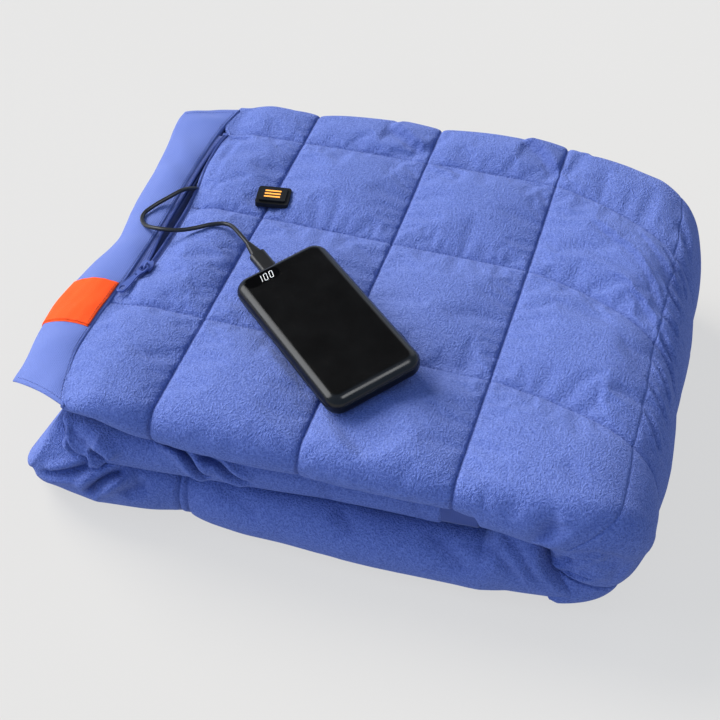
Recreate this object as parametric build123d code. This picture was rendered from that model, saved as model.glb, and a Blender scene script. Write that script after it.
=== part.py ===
from build123d import *
import os
from math import tan, radians, cos, sin, pi

# Heated quilted blanket, folded for storage or lap use, with its power bank on top.
# Frame: origin at the bottom centre of the folded pack, +X towards the rounded
# fold, -X towards the binding and zipped pocket, +Y to the back, +Z up.  Millimetres.

# ---------------- driving dimensions ----------------
HALF_X = 205.0          # pack half length
HALF_Y = 184.0          # pack half width
PACK_H = 101.5          # height of the folded pack without the power bank
TOP_Z0 = 66.0           # underside of the top fold
LOW_H = 46.0            # height of the bottom fold
LOW_Y0 = -170.0         # front of the bottom fold
MID_Z0, MID_Z1 = 46.3, 65.7
MID_X0, MID_X1 = -192.0, 98.0
MID_Y0, MID_Y1 = -172.0, 180.0
WRAP_X = 154.25         # plane where the flat folds meet the round fold
SKIN = 1.6              # fleece thickness
BAND_X = -171.0         # inner edge of the binding band
BAND_X0 = -203.7        # outer edge of the binding band
QUILT_X = -159.0        # inner edge of the zip mouth
BAND_T = 8.0            # thickness of the bound edge
ZIP_Y0, ZIP_Y1 = -36.0, 133.0
POCKET_X1 = -75.0
POCKET_Y0, POCKET_Y1 = -20.0, 128.0
POCKET_Z0, POCKET_Z1 = 84.0, 94.4
LINING = 0.7
CORD_D = 3.0
BANK_L, BANK_W, BANK_T = 133.0, 67.0, 16.0
BANK_WALL = 1.6
BANK_SPLIT = 2.0        # parting height above the mid plane
BANK_POS = (-25.0, -68.0, 115.0)
BANK_YAW, BANK_ROLL = -43.0, 10.0
PLUG_Y = -5.0           # plug offset across the bank's short end
BUTTON_TRAVEL = 0.8

os.makedirs("parts", exist_ok=True)
made = {}


def box(x0, x1, y0, y1, z0, z1):
    return Pos((x0 + x1) / 2, (y0 + y1) / 2, (z0 + z1) / 2) * Box(x1 - x0, y1 - y0, z1 - z0)


def soft_box(x0, x1, y0, y1, z0, z1, r, axis=Axis.X):
    b = box(x0, x1, y0, y1, z0, z1)
    return fillet(b.edges().filter_by(axis), r)


def save(name, shape):
    made[name] = shape
    export_step(shape, "parts/" + name + ".step")


def group(*solids):
    out = []
    for s in solids:
        out += list(s.solids())
    return Compound(children=out)


# ---------------- bottom fold, round fold, middle folds (root) ----------------
low_out = soft_box(-203, WRAP_X, LOW_Y0, HALF_Y, 0, LOW_H, 19.0)
low_out = fillet(low_out.faces().sort_by(Axis.X)[0].edges(), 12.0)
low_in = soft_box(-203 + SKIN, WRAP_X, LOW_Y0 + SKIN, HALF_Y - SKIN, SKIN, LOW_H - SKIN, 17.4)
low_in = fillet(low_in.faces().sort_by(Axis.X)[0].edges(), 10.4)
save("lower_fleece", low_out - low_in)

low_pad = box(-150, 140, -140, 155, 22.6, 23.4)
low_core = soft_box(-203 + SKIN + 0.2, WRAP_X, LOW_Y0 + SKIN + 0.2, HALF_Y - SKIN - 0.2,
                    SKIN + 0.2, LOW_H - SKIN - 0.2, 17.2)
low_core = fillet(low_core.faces().sort_by(Axis.X)[0].edges(), 10.2)
slot = box(-203, WRAP_X + 1, LOW_Y0 - 1, HALF_Y + 1, 22.5, 23.5)
halves = (low_core - slot).solids().sort_by(Axis.Z)
save("lower_batting_under", halves[0])
save("lower_batting_over", halves[1])
save("lower_heater_pad", low_pad)

wrap_plane = Plane(origin=(WRAP_X, 0, 0), x_dir=(0, 1, 0), z_dir=(1, 0, 0))
WRAP_ZC = PACK_H / 2
sec_h = PACK_H - TOP_Z0
sec_zc = (PACK_H + TOP_Z0) / 2


def ring_section(inset):
    return RectangleRounded(2 * HALF_Y - 2 * inset, sec_h - 2 * inset, 17.0 - inset)


wrap_axis = Axis((WRAP_X, 0, WRAP_ZC), (0, 1, 0))
sec_skin = wrap_plane * (Pos(0, sec_zc) * (ring_section(0) - ring_section(SKIN)))
sec_core = wrap_plane * (Pos(0, sec_zc) * ring_section(SKIN + 0.1))
wrap_fleece = revolve(sec_skin, axis=wrap_axis, revolution_arc=180)
wrap_batting = revolve(sec_core, axis=wrap_axis, revolution_arc=180)
# the round fold starts a hair beyond the flat folds
cut = box(WRAP_X - 1, WRAP_X + 0.15, -200, 200, -5, 110)
save("wrap_fleece", wrap_fleece - cut)
save("wrap_batting", wrap_batting - cut)

mid_out = soft_box(MID_X0, MID_X1, MID_Y0, MID_Y1, MID_Z0, MID_Z1, 8.5)
mid_in = soft_box(MID_X0 + SKIN, MID_X1, MID_Y0 + SKIN, MID_Y1 - SKIN, MID_Z0 + SKIN, MID_Z1 - SKIN, 6.9)
save("middle_fleece", mid_out - mid_in)
mid_core = soft_box(MID_X0 + SKIN + 0.2, MID_X1, MID_Y0 + SKIN + 0.2, MID_Y1 - SKIN - 0.2,
                    MID_Z0 + SKIN + 0.2, MID_Z1 - SKIN - 0.2, 6.6)
save("middle_batting", mid_core)

# ---------------- top fold ----------------
TOP_X1 = WRAP_X - 0.3
top_out = soft_box(QUILT_X, TOP_X1, -HALF_Y, HALF_Y, TOP_Z0, PACK_H, 17.0)
top_in = soft_box(QUILT_X, TOP_X1, -HALF_Y + SKIN, HALF_Y - SKIN, TOP_Z0 + SKIN, PACK_H - SKIN, 15.4)
save("upper_fleece", top_out - top_in)

core = soft_box(QUILT_X, TOP_X1, -HALF_Y + SKIN + 0.1, HALF_Y - SKIN - 0.1,
                TOP_Z0 + SKIN + 0.1, PACK_H - SKIN - 0.1, 15.2)
up_top = core & box(-400, 400, -400, 400, 95.3, 200)
up_low = core & box(-400, 400, -400, 400, 0, POCKET_Z0 - 0.1)
mid = core & box(-400, 400, -400, 400, POCKET_Z0 + 0.1, 94.3)
mid = mid - box(-400, POCKET_X1 + 0.2, POCKET_Y0 - 0.2, POCKET_Y1 + 0.2, 0, 200)
mid_r = mid & box(POCKET_X1 + 0.2, 400, -400, 400, 0, 200)
mid_f = mid & box(-400, POCKET_X1, -400, POCKET_Y0 - 0.2, 0, 200)
mid_b = mid & box(-400, POCKET_X1, POCKET_Y1 + 0.2, 400, 0, 200)
save("upper_batting_over", up_top)
save("upper_batting_under", up_low)
save("upper_batting_middle", group(mid_r, mid_f, mid_b))
save("upper_heater_pad", box(-60, 140, -150, 150, 94.5, 95.2))
save("heater_lead", group(box(-74.0, -60.2, 20.0, 24.0, 94.5, 95.1)))

# bound edge: a folded woven band over the quilt's edge
band_len_y0, band_len_y1 = -152.0, 158.0


def band_section(inset, x_end):
    k = (98.0 - 86.0) / (BAND_X - BAND_X0)
    x0 = BAND_X0 + inset
    pts = [(x_end, 98.0 - inset - k * (BAND_X - x_end)), (x0, 86.0 - inset + k * inset),
           (x0, 86.0 - BAND_T + inset + k * inset), (x_end, 98.0 - BAND_T + inset - k * (BAND_X - x_end))]
    pl = Plane(origin=(0, band_len_y0, 0), x_dir=(1, 0, 0), z_dir=(0, -1, 0))
    return pl * make_face(Polyline(*[(a, b) for a, b in pts], close=True))


band_outer = extrude(band_section(0, BAND_X), amount=-(band_len_y1 - band_len_y0))
band_inner = extrude(band_section(1.2, BAND_X), amount=-(band_len_y1 - band_len_y0))
LABEL_Y0, LABEL_Y1 = -98.0, -53.0
save("binding_band", band_outer - band_inner)
save("band_core", extrude(band_section(1.4, BAND_X), amount=-(band_len_y1 - band_len_y0)))

# blank woven label, folded over the band's edge
k = 12.0 / (BAND_X - BAND_X0)
lab_pl = Plane(origin=(0, LABEL_Y0, 0), x_dir=(1, 0, 0), z_dir=(0, -1, 0))
lab_face = make_face(Polyline((-174.0, 98.1 - 3 * k), (BAND_X0 - 0.6, 86.1), (BAND_X0 - 0.6, 77.5), (-188.0, 90.0 - 0.2 - 17 * k),
                              (-188.0, 90.0 - 0.9 - 17 * k), (-HALF_X, 76.8), (-HALF_X, 86.8), (-174.0, 98.8 - 3 * k), close=True))
save("side_label", extrude(lab_pl * lab_face, amount=-(LABEL_Y1 - LABEL_Y0)))

# seam allowance that joins band and quilt before and behind the zip
save("band_seam", group(box(BAND_X + 0.05, QUILT_X - 0.05, -160, ZIP_Y0 - 2.2, 88.5, 97.5),
                        box(BAND_X + 0.05, QUILT_X - 0.05, ZIP_Y1 + 2.2, 160, 88.5, 97.5)))

# ---------------- pocket and zip ----------------
MOUTH_Z = 93.5          # rim of the pouch below the zip
pk_out = box(QUILT_X - LINING, POCKET_X1, POCKET_Y0, POCKET_Y1, POCKET_Z0, POCKET_Z1) + \
    box(BAND_X + 0.05, QUILT_X, POCKET_Y0, POCKET_Y1, POCKET_Z0, MOUTH_Z)
pk_in = box(QUILT_X - LINING - 1, POCKET_X1 - LINING, POCKET_Y0 + LINING, POCKET_Y1 - LINING,
            POCKET_Z0 + LINING, POCKET_Z1 - LINING) + \
    box(BAND_X + 0.05 + LINING, QUILT_X - LINING, POCKET_Y0 + LINING, POCKET_Y1 - LINING,
        POCKET_Z0 + LINING, MOUTH_Z + 1)
pocket = pk_out - pk_in
# under the quilt the lining hangs below its fleece; the lead to the heater passes through it
pocket = pocket - box(POCKET_X1 - 1.5, POCKET_X1 + 1, 19.0, 25.0, 88.0, 92.0)
save("pocket_lining", pocket)
save("heater_connector", box(-92.0, -76.2, 17.5, 26.5, 86.2, 91.0))

ZIP_X = (BAND_X + QUILT_X) / 2
TAPE_W = 1.9
save("zip_tape_left", box(BAND_X + 0.05, BAND_X + TAPE_W, ZIP_Y0, ZIP_Y1, 95.7, 96.3))
save("zip_tape_right", box(QUILT_X - TAPE_W, QUILT_X - 0.05, ZIP_Y0, ZIP_Y1, 95.7, 96.3))


def coil(x):
    return Pos(x, (ZIP_Y0 + ZIP_Y1) / 2, 96.0) * Rot(90, 0, 0) * Cylinder(0.72, ZIP_Y1 - ZIP_Y0 - 6)


save("zip_coil_left", coil(BAND_X + TAPE_W + 0.74))
save("zip_coil_right", coil(QUILT_X - TAPE_W - 0.74))
save("zip_end_stops", group(box(ZIP_X - 3.0, ZIP_X + 3.0, ZIP_Y0 - 2.0, ZIP_Y0 - 0.1, 94.9, 97.3),
                            box(ZIP_X - 3.0, ZIP_X + 3.0, ZIP_Y1 + 0.1, ZIP_Y1 + 2.0, 94.9, 97.3)))

# slider: two plates on a wedge, with a bridge for the pull
SL_Y0, SL_Y1 = -34.5, -22.5
SLC = (SL_Y0 + SL_Y1) / 2
plate_up = fillet(box(ZIP_X - 4.2, ZIP_X + 4.2, SL_Y0, SL_Y1, 97.1, 98.1).edges().filter_by(Axis.Z), 2.2)
plate_dn = fillet(box(ZIP_X - 4.2, ZIP_X + 4.2, SL_Y0, SL_Y1, 93.9, 94.9).edges().filter_by(Axis.Z), 2.2)
wedge = box(ZIP_X - 0.9, ZIP_X + 0.9, SL_Y1 - 5.0, SL_Y1 - 0.8, 94.9, 97.1)
bridge = box(ZIP_X - 0.9, ZIP_X + 0.9, SL_Y0 + 1.0, SL_Y0 + 7.6, 98.1, 100.9) - \
    box(ZIP_X - 1.5, ZIP_X + 1.5, SL_Y0 + 2.2, SL_Y0 + 6.6, 98.1, 99.9)
slider = plate_up + plate_dn + wedge + bridge
save("zip_slider_body", slider)

# pull: eye round the bridge, shank and grip, lying along the zip
PULL_H = (ZIP_X, SL_Y0 + 3.4, 99.0)      # hinge point inside the bridge
pull_pl = Plane(origin=PULL_H, x_dir=(cos(radians(-13.0)), sin(radians(-13.0)), 0), z_dir=(0, 0, 1))
EYE_L = 5.2             # clear length of the eye, longer than the bridge is high
bar = Pos(0, -15.1, 0) * Box(6.4, 31.2, 1.0)
bar = fillet(bar.edges().filter_by(Axis.Z), 1.8)
bar = bar - Pos(0, -0.5 - EYE_L / 2, 0) * Box(3.8, EYE_L, 2)
bar = bar - Pos(0, -10.0, 0) * Cylinder(0.9, 3) - Pos(0, -26.9, 0) * Cylinder(1.6, 3)
pull = pull_pl.location * bar
save("zip_pull_tab", pull)

# ---------------- heat controller ----------------
CT = (-106.0, 63.0, PACK_H + 0.1)
ct_pl = Plane(origin=CT, x_dir=(cos(radians(9.0)), sin(radians(9.0)), 0), z_dir=(0, 0, 1))


def ct(shape):
    return ct_pl.location * shape


base = fillet((Pos(0, 0, 1.7) * Box(23.5, 20.0, 3.4)).edges().filter_by(Axis.Z), 2.2)
well = fillet((Pos(0, 0, 2.3) * Box(19.4, 15.9, 3.0)).edges().filter_by(Axis.Z), 1.4)
save("controller_base", ct(base - well))
save("controller_board", ct(Pos(0, 0, 1.1) * Box(18.6, 15.0, 0.5)))
save("controller_dome", ct(Pos(0, 0, 1.55) * Cylinder(2.6, 0.4)))
cap = fillet((Pos(0, 0, 3.9) * Box(18.8, 15.3, 2.0)).edges().filter_by(Axis.Z), 1.1)
bars = [Pos(-0.4, y, 4.75) * Box(11.4, 1.5, 0.5) for y in (-3.4, -0.1, 3.2)]
cap_cut = cap
for b in bars:
    cap_cut = cap_cut - b
save("controller_button", ct(cap_cut))
save("level_lights", ct(group(*bars)))

# ---------------- power bank, in its own lying frame ----------------
cy, sy = cos(radians(BANK_YAW)), sin(radians(BANK_YAW))
cr, sr = cos(radians(BANK_ROLL)), sin(radians(BANK_ROLL))
bank_pl = Plane(origin=BANK_POS, x_dir=(cy, sy, 0), z_dir=(sy * sr, -cy * sr, cr))


def bk(shape):
    return bank_pl.location * shape


def bank_body(inset, rc, re):
    b = Box(BANK_L - 2 * inset, BANK_W - 2 * inset, BANK_T - 2 * inset)
    b = fillet(b.edges().filter_by(Axis.Z), rc - inset)
    faces = b.faces().sort_by(Axis.Z)
    return fillet(faces[0].edges() + faces[-1].edges(), re - inset)


shell = bank_body(0, 10.5, 7.3) - bank_body(BANK_WALL, 10.5, 7.3)
hx = -BANK_L / 2
usb_c_hole = Pos(hx, PLUG_Y, 0) * Box(8, 9.4, 3.7)
usb_a_hole = Pos(hx, PLUG_Y + 20.0, 1.2) * Box(8, 13.8, 6.0)
win_x, win_y = hx + 10.6, -15.0
win_hole = fillet((Pos(win_x, win_y, 8.0) * Box(10.6, 24.6, 5.0)).edges().filter_by(Axis.Z), 5.0)
btn_hole = fillet((Pos(38.0, BANK_W / 2, 0.0) * Box(13.0, 6.0, 3.6)).edges().filter_by(Axis.Y), 1.7)
for h in (usb_c_hole, usb_a_hole, win_hole, btn_hole):
    shell = shell - h
save("bank_top_cover", bk(shell & Pos(0, 0, BANK_SPLIT + 10.05) * Box(200, 200, 20)))
save("bank_bottom_cover", bk(shell & Pos(0, 0, BANK_SPLIT - 10.05) * Box(200, 200, 20)))
window = fillet((Pos(win_x, win_y, 7.1) * Box(10.3, 24.3, 1.5)).edges().filter_by(Axis.Z), 4.8)
save("bank_display_window", bk(window))
save("bank_display_module", bk(Pos(win_x + 0.6, win_y, 5.5) * Box(7.4, 19.0, 1.4)))
board = Pos(hx + 16.5, 0, -2.5) * Box(26.0, 54.0, 1.2)
save("bank_circuit_board", bk(board))
rec_o = Pos(hx + 4.6, PLUG_Y, 0) * Box(7.6, 9.0, 3.3)
rec_i = Pos(hx + 4.1, PLUG_Y, 0) * Box(7.8, 8.5, 2.72)
tongue = Pos(hx + 5.7, PLUG_Y, 0) * Box(5.2, 6.6, 0.7)
save("bank_usb_c_socket", bk((rec_o - rec_i) + tongue))
sa_o = Pos(hx + 8.6, PLUG_Y + 20.0, 1.2) * Box(15.4, 13.2, 5.6)
sa_i = Pos(hx + 8.0, PLUG_Y + 20.0, 1.2) * Box(15.4, 12.5, 4.9)
sa_t = Pos(hx + 10.8, PLUG_Y + 20.0, 2.7) * Box(9.8, 11.2, 1.6)
save("bank_usb_a_socket", bk((sa_o - sa_i) + sa_t))
cell = fillet(Box(90.0, 58.0, 5.4).edges().filter_by(Axis.X), 1.2)
save("bank_cells", bk(group(Pos(16.0, 0, -3.0) * cell, Pos(16.0, 0, 3.0) * cell)))
save("bank_cell_pads", bk(group(Pos(16.0, 0, -6.02) * Box(70, 40, 0.5), Pos(16.0, 0, 6.02) * Box(70, 40, 0.5))))
btn = fillet((Pos(38.0, BANK_W / 2 - 0.7, 0.0) * Box(12.2, 2.6, 2.8)).edges().filter_by(Axis.Y), 1.3)
save("bank_power_button", bk(btn))
save("bank_button_switch", bk(Pos(38.0, BANK_W / 2 - 3.6, 0.0) * Box(6.0, 1.2, 2.6)))

# ---------------- USB lead: plug, strain relief, cord ----------------
PL0 = hx - 0.35          # face of the overmould beside the bank
shell_o = Pos(PL0 + 3.0, PLUG_Y, 0) * Box(6.2, 8.2, 2.4)
shell_o = fillet(shell_o.edges().filter_by(Axis.X), 1.1)
shell_i = Pos(PL0 + 3.6, PLUG_Y, 0) * Box(6.4, 7.2, 1.5)
save("usb_plug_shell", bk(shell_o - shell_i))
mould = Pos(PL0 - 9.0, PLUG_Y, 0) * Box(17.8, 11.4, 6.6)
mould = fillet(mould.edges().filter_by(Axis.X), 2.6)
save("usb_plug_boot", bk(mould))
# tapered strain relief behind the overmould
SR_X0 = PL0 - 17.9
SR_L = 13.0
neck_pl = Plane(origin=(SR_X0, PLUG_Y, 0), x_dir=(0, 1, 0), z_dir=(-1, 0, 0))
neck = loft([neck_pl * RectangleRounded(8.6, 5.2, 2.2),
             neck_pl.offset(SR_L) * RectangleRounded(4.2, 4.2, 2.05)])
save("usb_strain_relief", bk(neck))

end_l = Vector(SR_X0 - SR_L, PLUG_Y, 0)
end_w = bank_pl.from_local_coords(end_l)
dir_w = bank_pl.from_local_coords(Vector(end_l.X - 1, end_l.Y, 0)) - end_w
CORD = [
    (-164.6, 67.0, 94.2),
    (-169.0, 56.5, 102.4),
    (-177.0, 44.0, 101.2),
    (-185.5, 34.5, 98.3),
    (-191.0, 23.0, 96.6),
    (-183.5, 10.0, 98.6),
    (-169.5, 3.6, 104.2),
    (-156.0, 3.4, 105.8),
    (-145.0, 9.0, 106.3),
    (-135.0, 16.5, 107.0),
    (-122.5, 19.0, 109.0),
]
tail = end_w + dir_w * 11.5
CORD.append((tail.X, tail.Y, tail.Z))
CORD.append((end_w.X, end_w.Y, end_w.Z))
pts = [Vector(*p) for p in CORD]
radii = []
for i in range(1, len(pts) - 1):
    a, b = pts[i] - pts[i - 1], pts[i + 1] - pts[i]
    turn = a.get_angle(b)
    radii.append(0.45 * min(a.length, b.length) / tan(radians(turn) / 2))
path = FilletPolyline(*pts, radius=radii)
start_pl = Plane(origin=pts[0], z_dir=(pts[1] - pts[0]))
tube = sweep(start_pl * Circle(CORD_D / 2), path=path)
save("usb_lead", tube)
length = sum(e.length for e in path.edges())
print("cord points", [tuple(round(c, 2) for c in p) for p in CORD])
print("cord runs", [round((pts[i + 1] - pts[i]).length, 1) for i in range(len(pts) - 1)])
print("cord radii mm", [round(r, 1) for r in radii])
print("cord length mm", round(length, 1), "volume / (section*length)",
      round(tube.volume / (pi * (CORD_D / 2) ** 2 * length), 4))

# collar sewn inside the pocket mouth that the lead comes out of
collar_pl = Plane(origin=pts[0], z_dir=(pts[0] - pts[1]))
collar = extrude(collar_pl * (Circle(2.4) - Circle(1.1)), amount=4.5)
save("lead_collar", collar)

tot = 0.0
for n, s in made.items():
    tot += s.volume
bb = Compound(children=[s for n in made for s in made[n].solids()]).bounding_box()
print("bank underside z", made["bank_bottom_cover"].bounding_box().min.Z)
print(len(made), "nodes, box", bb.min, bb.max, "volume cm3", round(tot / 1000))
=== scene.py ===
import bmesh
import bpy
import math
import numpy as np
from mathutils import Matrix, Vector


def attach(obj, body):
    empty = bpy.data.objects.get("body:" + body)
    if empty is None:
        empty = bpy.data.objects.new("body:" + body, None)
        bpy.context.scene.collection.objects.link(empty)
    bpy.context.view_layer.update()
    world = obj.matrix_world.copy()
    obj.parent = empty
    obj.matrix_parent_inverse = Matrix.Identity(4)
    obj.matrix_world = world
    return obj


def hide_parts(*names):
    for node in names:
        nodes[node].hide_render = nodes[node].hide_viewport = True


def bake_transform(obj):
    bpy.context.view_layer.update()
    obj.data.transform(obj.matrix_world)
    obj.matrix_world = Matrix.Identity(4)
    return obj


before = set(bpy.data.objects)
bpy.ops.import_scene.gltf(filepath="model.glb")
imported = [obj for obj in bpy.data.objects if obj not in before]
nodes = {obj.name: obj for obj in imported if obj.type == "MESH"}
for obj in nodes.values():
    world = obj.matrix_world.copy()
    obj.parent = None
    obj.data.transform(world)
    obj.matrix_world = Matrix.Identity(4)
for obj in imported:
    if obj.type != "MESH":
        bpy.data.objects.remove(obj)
sc = bpy.context.scene
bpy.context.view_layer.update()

# ------------------------------------------------------------------ helpers
PI = math.pi


def sstep(x):
    x = np.clip(x, 0.0, 1.0)
    return x * x * (3 - 2 * x)


def lerp_table(x, pts):
    xs = [p[0] for p in pts]
    ys = [p[1] for p in pts]
    return np.interp(x, xs, ys)


def smooth_table(x, pts):
    """Cubic through the points, with no corners."""
    xs = np.array([p[0] for p in pts])
    ys = np.array([p[1] for p in pts])
    m_ = np.gradient(ys, xs)
    x = np.clip(np.asarray(x, float), xs[0], xs[-1])
    i = np.clip(np.searchsorted(xs, x, side="right") - 1, 0, len(xs) - 2)
    h = xs[i + 1] - xs[i]
    t = (x - xs[i]) / h
    return ((2 * t ** 3 - 3 * t ** 2 + 1) * ys[i] + (t ** 3 - 2 * t ** 2 + t) * h * m_[i]
            + (-2 * t ** 3 + 3 * t ** 2) * ys[i + 1] + (t ** 3 - t ** 2) * h * m_[i + 1])


def noise2(x, y, scale, seed, octaves=2):
    """Smooth value noise, about -1 to 1."""
    x = np.asarray(x, float)
    y = np.asarray(y, float)
    out = np.zeros(np.broadcast(x, y).shape)
    amp, tot = 1.0, 0.0
    for o in range(octaves):
        r = np.random.default_rng(seed * 101 + o)
        lat = r.uniform(-1, 1, (64, 64))
        gx, gy = x / scale + 17.3, y / scale + 9.1
        ix, iy = np.floor(gx).astype(int), np.floor(gy).astype(int)
        fx, fy = sstep(gx - ix), sstep(gy - iy)
        a = lat[ix % 64, iy % 64]
        b = lat[(ix + 1) % 64, iy % 64]
        c = lat[ix % 64, (iy + 1) % 64]
        d = lat[(ix + 1) % 64, (iy + 1) % 64]
        out = out + amp * ((a * (1 - fx) + b * fx) * (1 - fy) + (c * (1 - fx) + d * fx) * fy)
        tot += amp
        amp *= 0.5
        scale = scale * 0.5
    return out / tot


def segs(marks, step):
    """Sample positions from marks[0] to marks[-1] that fall exactly on every mark."""
    out = [marks[0]]
    for a, b in zip(marks[:-1], marks[1:]):
        n = max(1, int(round(abs(b - a) / step)))
        out += [a + (b - a) * k / n for k in range(1, n + 1)]
    return np.array(out)


def upsample(P, axis, k, periodic):
    """Catmull-Rom resampling of a grid of points."""
    P = np.moveaxis(P, axis, 0)
    n = P.shape[0]
    if periodic:
        idx = np.arange(n * k) / k
        i1 = np.floor(idx).astype(int)
        f = (idx - i1)
        g = lambda o: P[(i1 + o) % n]
    else:
        idx = np.arange((n - 1) * k + 1) / k
        i1 = np.minimum(np.floor(idx).astype(int), n - 2)
        f = idx - i1
        g = lambda o: P[np.clip(i1 + o, 0, n - 1)]
    f = f.reshape((-1,) + (1,) * (P.ndim - 1))
    p0, p1, p2, p3 = g(-1), g(0), g(1), g(2)
    Q = 0.5 * (2 * p1 + (p2 - p0) * f + (2 * p0 - 5 * p1 + 4 * p2 - p3) * f ** 2
               + (3 * p1 - p0 - 3 * p2 + p3) * f ** 3)
    return np.moveaxis(Q, 0, axis)


def fine_index(n, k, periodic, seams, offs=(0.08, 0.18, 0.32, 0.52)):
    """Sample positions, k to each cell, with more of them close to the seams."""
    idx = np.arange(n * k) / k if periodic else np.arange((n - 1) * k + 1) / k
    for s_ in seams:
        idx = idx[np.abs(idx - s_) > offs[-1] + 0.1]
    extra = [s_ + o for s_ in seams for o in (*[-q for q in offs], 0.0, *offs)]
    return np.array(sorted(set(np.round(np.concatenate([idx, extra]), 6)))) if len(extra) else idx


def resample(P, axis, idx, periodic, smooth=True):
    """Values at the given fractional positions, on a Catmull-Rom curve or on straight runs."""
    P = np.moveaxis(P, axis, 0)
    n = P.shape[0]
    i1 = np.floor(idx).astype(int)
    if not periodic:
        i1 = np.minimum(i1, n - 2)
    f = (idx - i1).reshape((-1,) + (1,) * (P.ndim - 1))
    g = (lambda o: P[(i1 + o) % n]) if periodic else (lambda o: P[np.clip(i1 + o, 0, n - 1)])
    if smooth:
        p0, p1, p2, p3 = g(-1), g(0), g(1), g(2)
        Q = 0.5 * (2 * p1 + (p2 - p0) * f + (2 * p0 - 5 * p1 + 4 * p2 - p3) * f ** 2 + (3 * p1 - p0 - 3 * p2 + p3) * f ** 3)
    else:
        Q = g(0) * (1 - f) + g(1) * f
    return np.moveaxis(Q, 0, axis)


def up_scalar(A, axis, k, periodic):
    """Linear resampling of a grid of numbers, on the same samples as upsample."""
    A = np.moveaxis(A, axis, 0)
    n = A.shape[0]
    if periodic:
        idx = np.arange(n * k) / k
        i1 = np.floor(idx).astype(int)
        a, b = A[i1 % n], A[(i1 + 1) % n]
    else:
        idx = np.arange((n - 1) * k + 1) / k
        i1 = np.minimum(np.floor(idx).astype(int), n - 2)
        a, b = A[i1], A[i1 + 1]
    f = (idx - i1).reshape((-1,) + (1,) * (A.ndim - 1))
    return np.moveaxis(a * (1 - f) + b * f, 0, axis)


def grid_normals(P, periodic=True):
    if periodic:
        dj = np.roll(P, -1, 1) - np.roll(P, 1, 1)
    else:
        dj = np.gradient(P, axis=1)
    di = np.gradient(P, axis=0)
    n = np.cross(dj, di)
    l = np.linalg.norm(n, axis=2, keepdims=True)
    return n / np.maximum(l, 1e-12)


def link(ob):
    sc.collection.objects.link(ob)
    return ob


def mesh_object(name, verts, faces, material, smooth=True):
    me = bpy.data.meshes.new(name)
    me.from_pydata([tuple(v) for v in verts], [], faces)
    me.update()
    if smooth:
        me.polygons.foreach_set("use_smooth", [True] * len(me.polygons))
    me.materials.append(material)
    return link(bpy.data.objects.new(name, me))


def grid_object(name, P, material, close_j=True, caps=True, flip=False):
    ni, nj = P.shape[:2]
    verts = P.reshape(-1, 3)
    i, j = np.meshgrid(np.arange(ni - 1), np.arange(nj if close_j else nj - 1), indexing="ij")
    j2 = (j + 1) % nj
    f = np.stack([i * nj + j, i * nj + j2, (i + 1) * nj + j2, (i + 1) * nj + j], -1).reshape(-1, 4)
    if flip:
        f = f[:, ::-1]
    faces = [tuple(int(v) for v in q) for q in f]
    if caps and close_j:
        a = list(range(nj))
        b = [(ni - 1) * nj + k for k in range(nj)]
        faces.append(tuple(a if flip else a[::-1]))
        faces.append(tuple(b[::-1] if flip else b))
    return mesh_object(name, verts, faces, material)


# ------------------------------------------------------------------ camera
cam_data = bpy.data.cameras.new("camera")
cam_data.sensor_width = 36.0
cam_data.lens = 75.4
cam_data.clip_start = 0.01
cam_data.clip_end = 50.0
cam = link(bpy.data.objects.new("camera", cam_data))
R = Vector((0.9574676, 0.28806102, 0.01663243))
U = Vector((-0.20904316, 0.65278344, 0.72813099))
K = Vector((0.19888878, -0.70063873, 0.68523618))
m = Matrix.Identity(4)
for r in range(3):
    m[r][0], m[r][1], m[r][2] = R[r], U[r], K[r]
m.translation = Vector((0.190, -0.745, 0.754))
cam.matrix_world = m
sc.camera = cam

sc.view_settings.view_transform = "Standard"
sc.view_settings.look = "None"

# ------------------------------------------------------------------ materials


def new_mat(name):
    mt = bpy.data.materials.new(name)
    mt.use_nodes = True
    nt = mt.node_tree
    return mt, nt, nt.nodes["Principled BSDF"]


def nd(nt, kind, **props):
    n = nt.nodes.new(kind)
    for k, v in props.items():
        setattr(n, k, v)
    return n


def coords(nt, scale=(1, 1, 1)):
    tc = nd(nt, "ShaderNodeTexCoord")
    mp = nd(nt, "ShaderNodeMapping")
    mp.inputs["Scale"].default_value = scale
    nt.links.new(tc.outputs["Object"], mp.inputs["Vector"])
    return mp.outputs["Vector"]


def noise(nt, vec, scale, detail=2.0, rough=0.5):
    n = nd(nt, "ShaderNodeTexNoise")
    n.inputs["Scale"].default_value = scale
    n.inputs["Detail"].default_value = detail
    n.inputs["Roughness"].default_value = rough
    nt.links.new(vec, n.inputs["Vector"])
    return n.outputs["Fac"]


def ramp(nt, fac, stops):
    r = nd(nt, "ShaderNodeValToRGB")
    el = r.color_ramp.elements
    while len(el) < len(stops):
        el.new(0.5)
    for e, (p, c) in zip(el, stops):
        e.position = p
        e.color = (*c, 1) if len(c) == 3 else c
    nt.links.new(fac, r.inputs["Fac"])
    return r.outputs["Color"]


def mathn(nt, op, a, b=None):
    n = nd(nt, "ShaderNodeMath", operation=op)
    for k, v in enumerate((a, b)):
        if v is None:
            continue
        if isinstance(v, (int, float)):
            n.inputs[k].default_value = v
        else:
            nt.links.new(v, n.inputs[k])
    return n.outputs[0]


def bump(nt, bs, height, dist, strength=1.0, chain=None):
    b = nd(nt, "ShaderNodeBump")
    b.inputs["Strength"].default_value = strength
    b.inputs["Distance"].default_value = dist
    nt.links.new(height, b.inputs["Height"])
    if chain is not None:
        nt.links.new(chain, b.inputs["Normal"])
    nt.links.new(b.outputs["Normal"], bs.inputs["Normal"])
    return b.outputs["Normal"]


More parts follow.
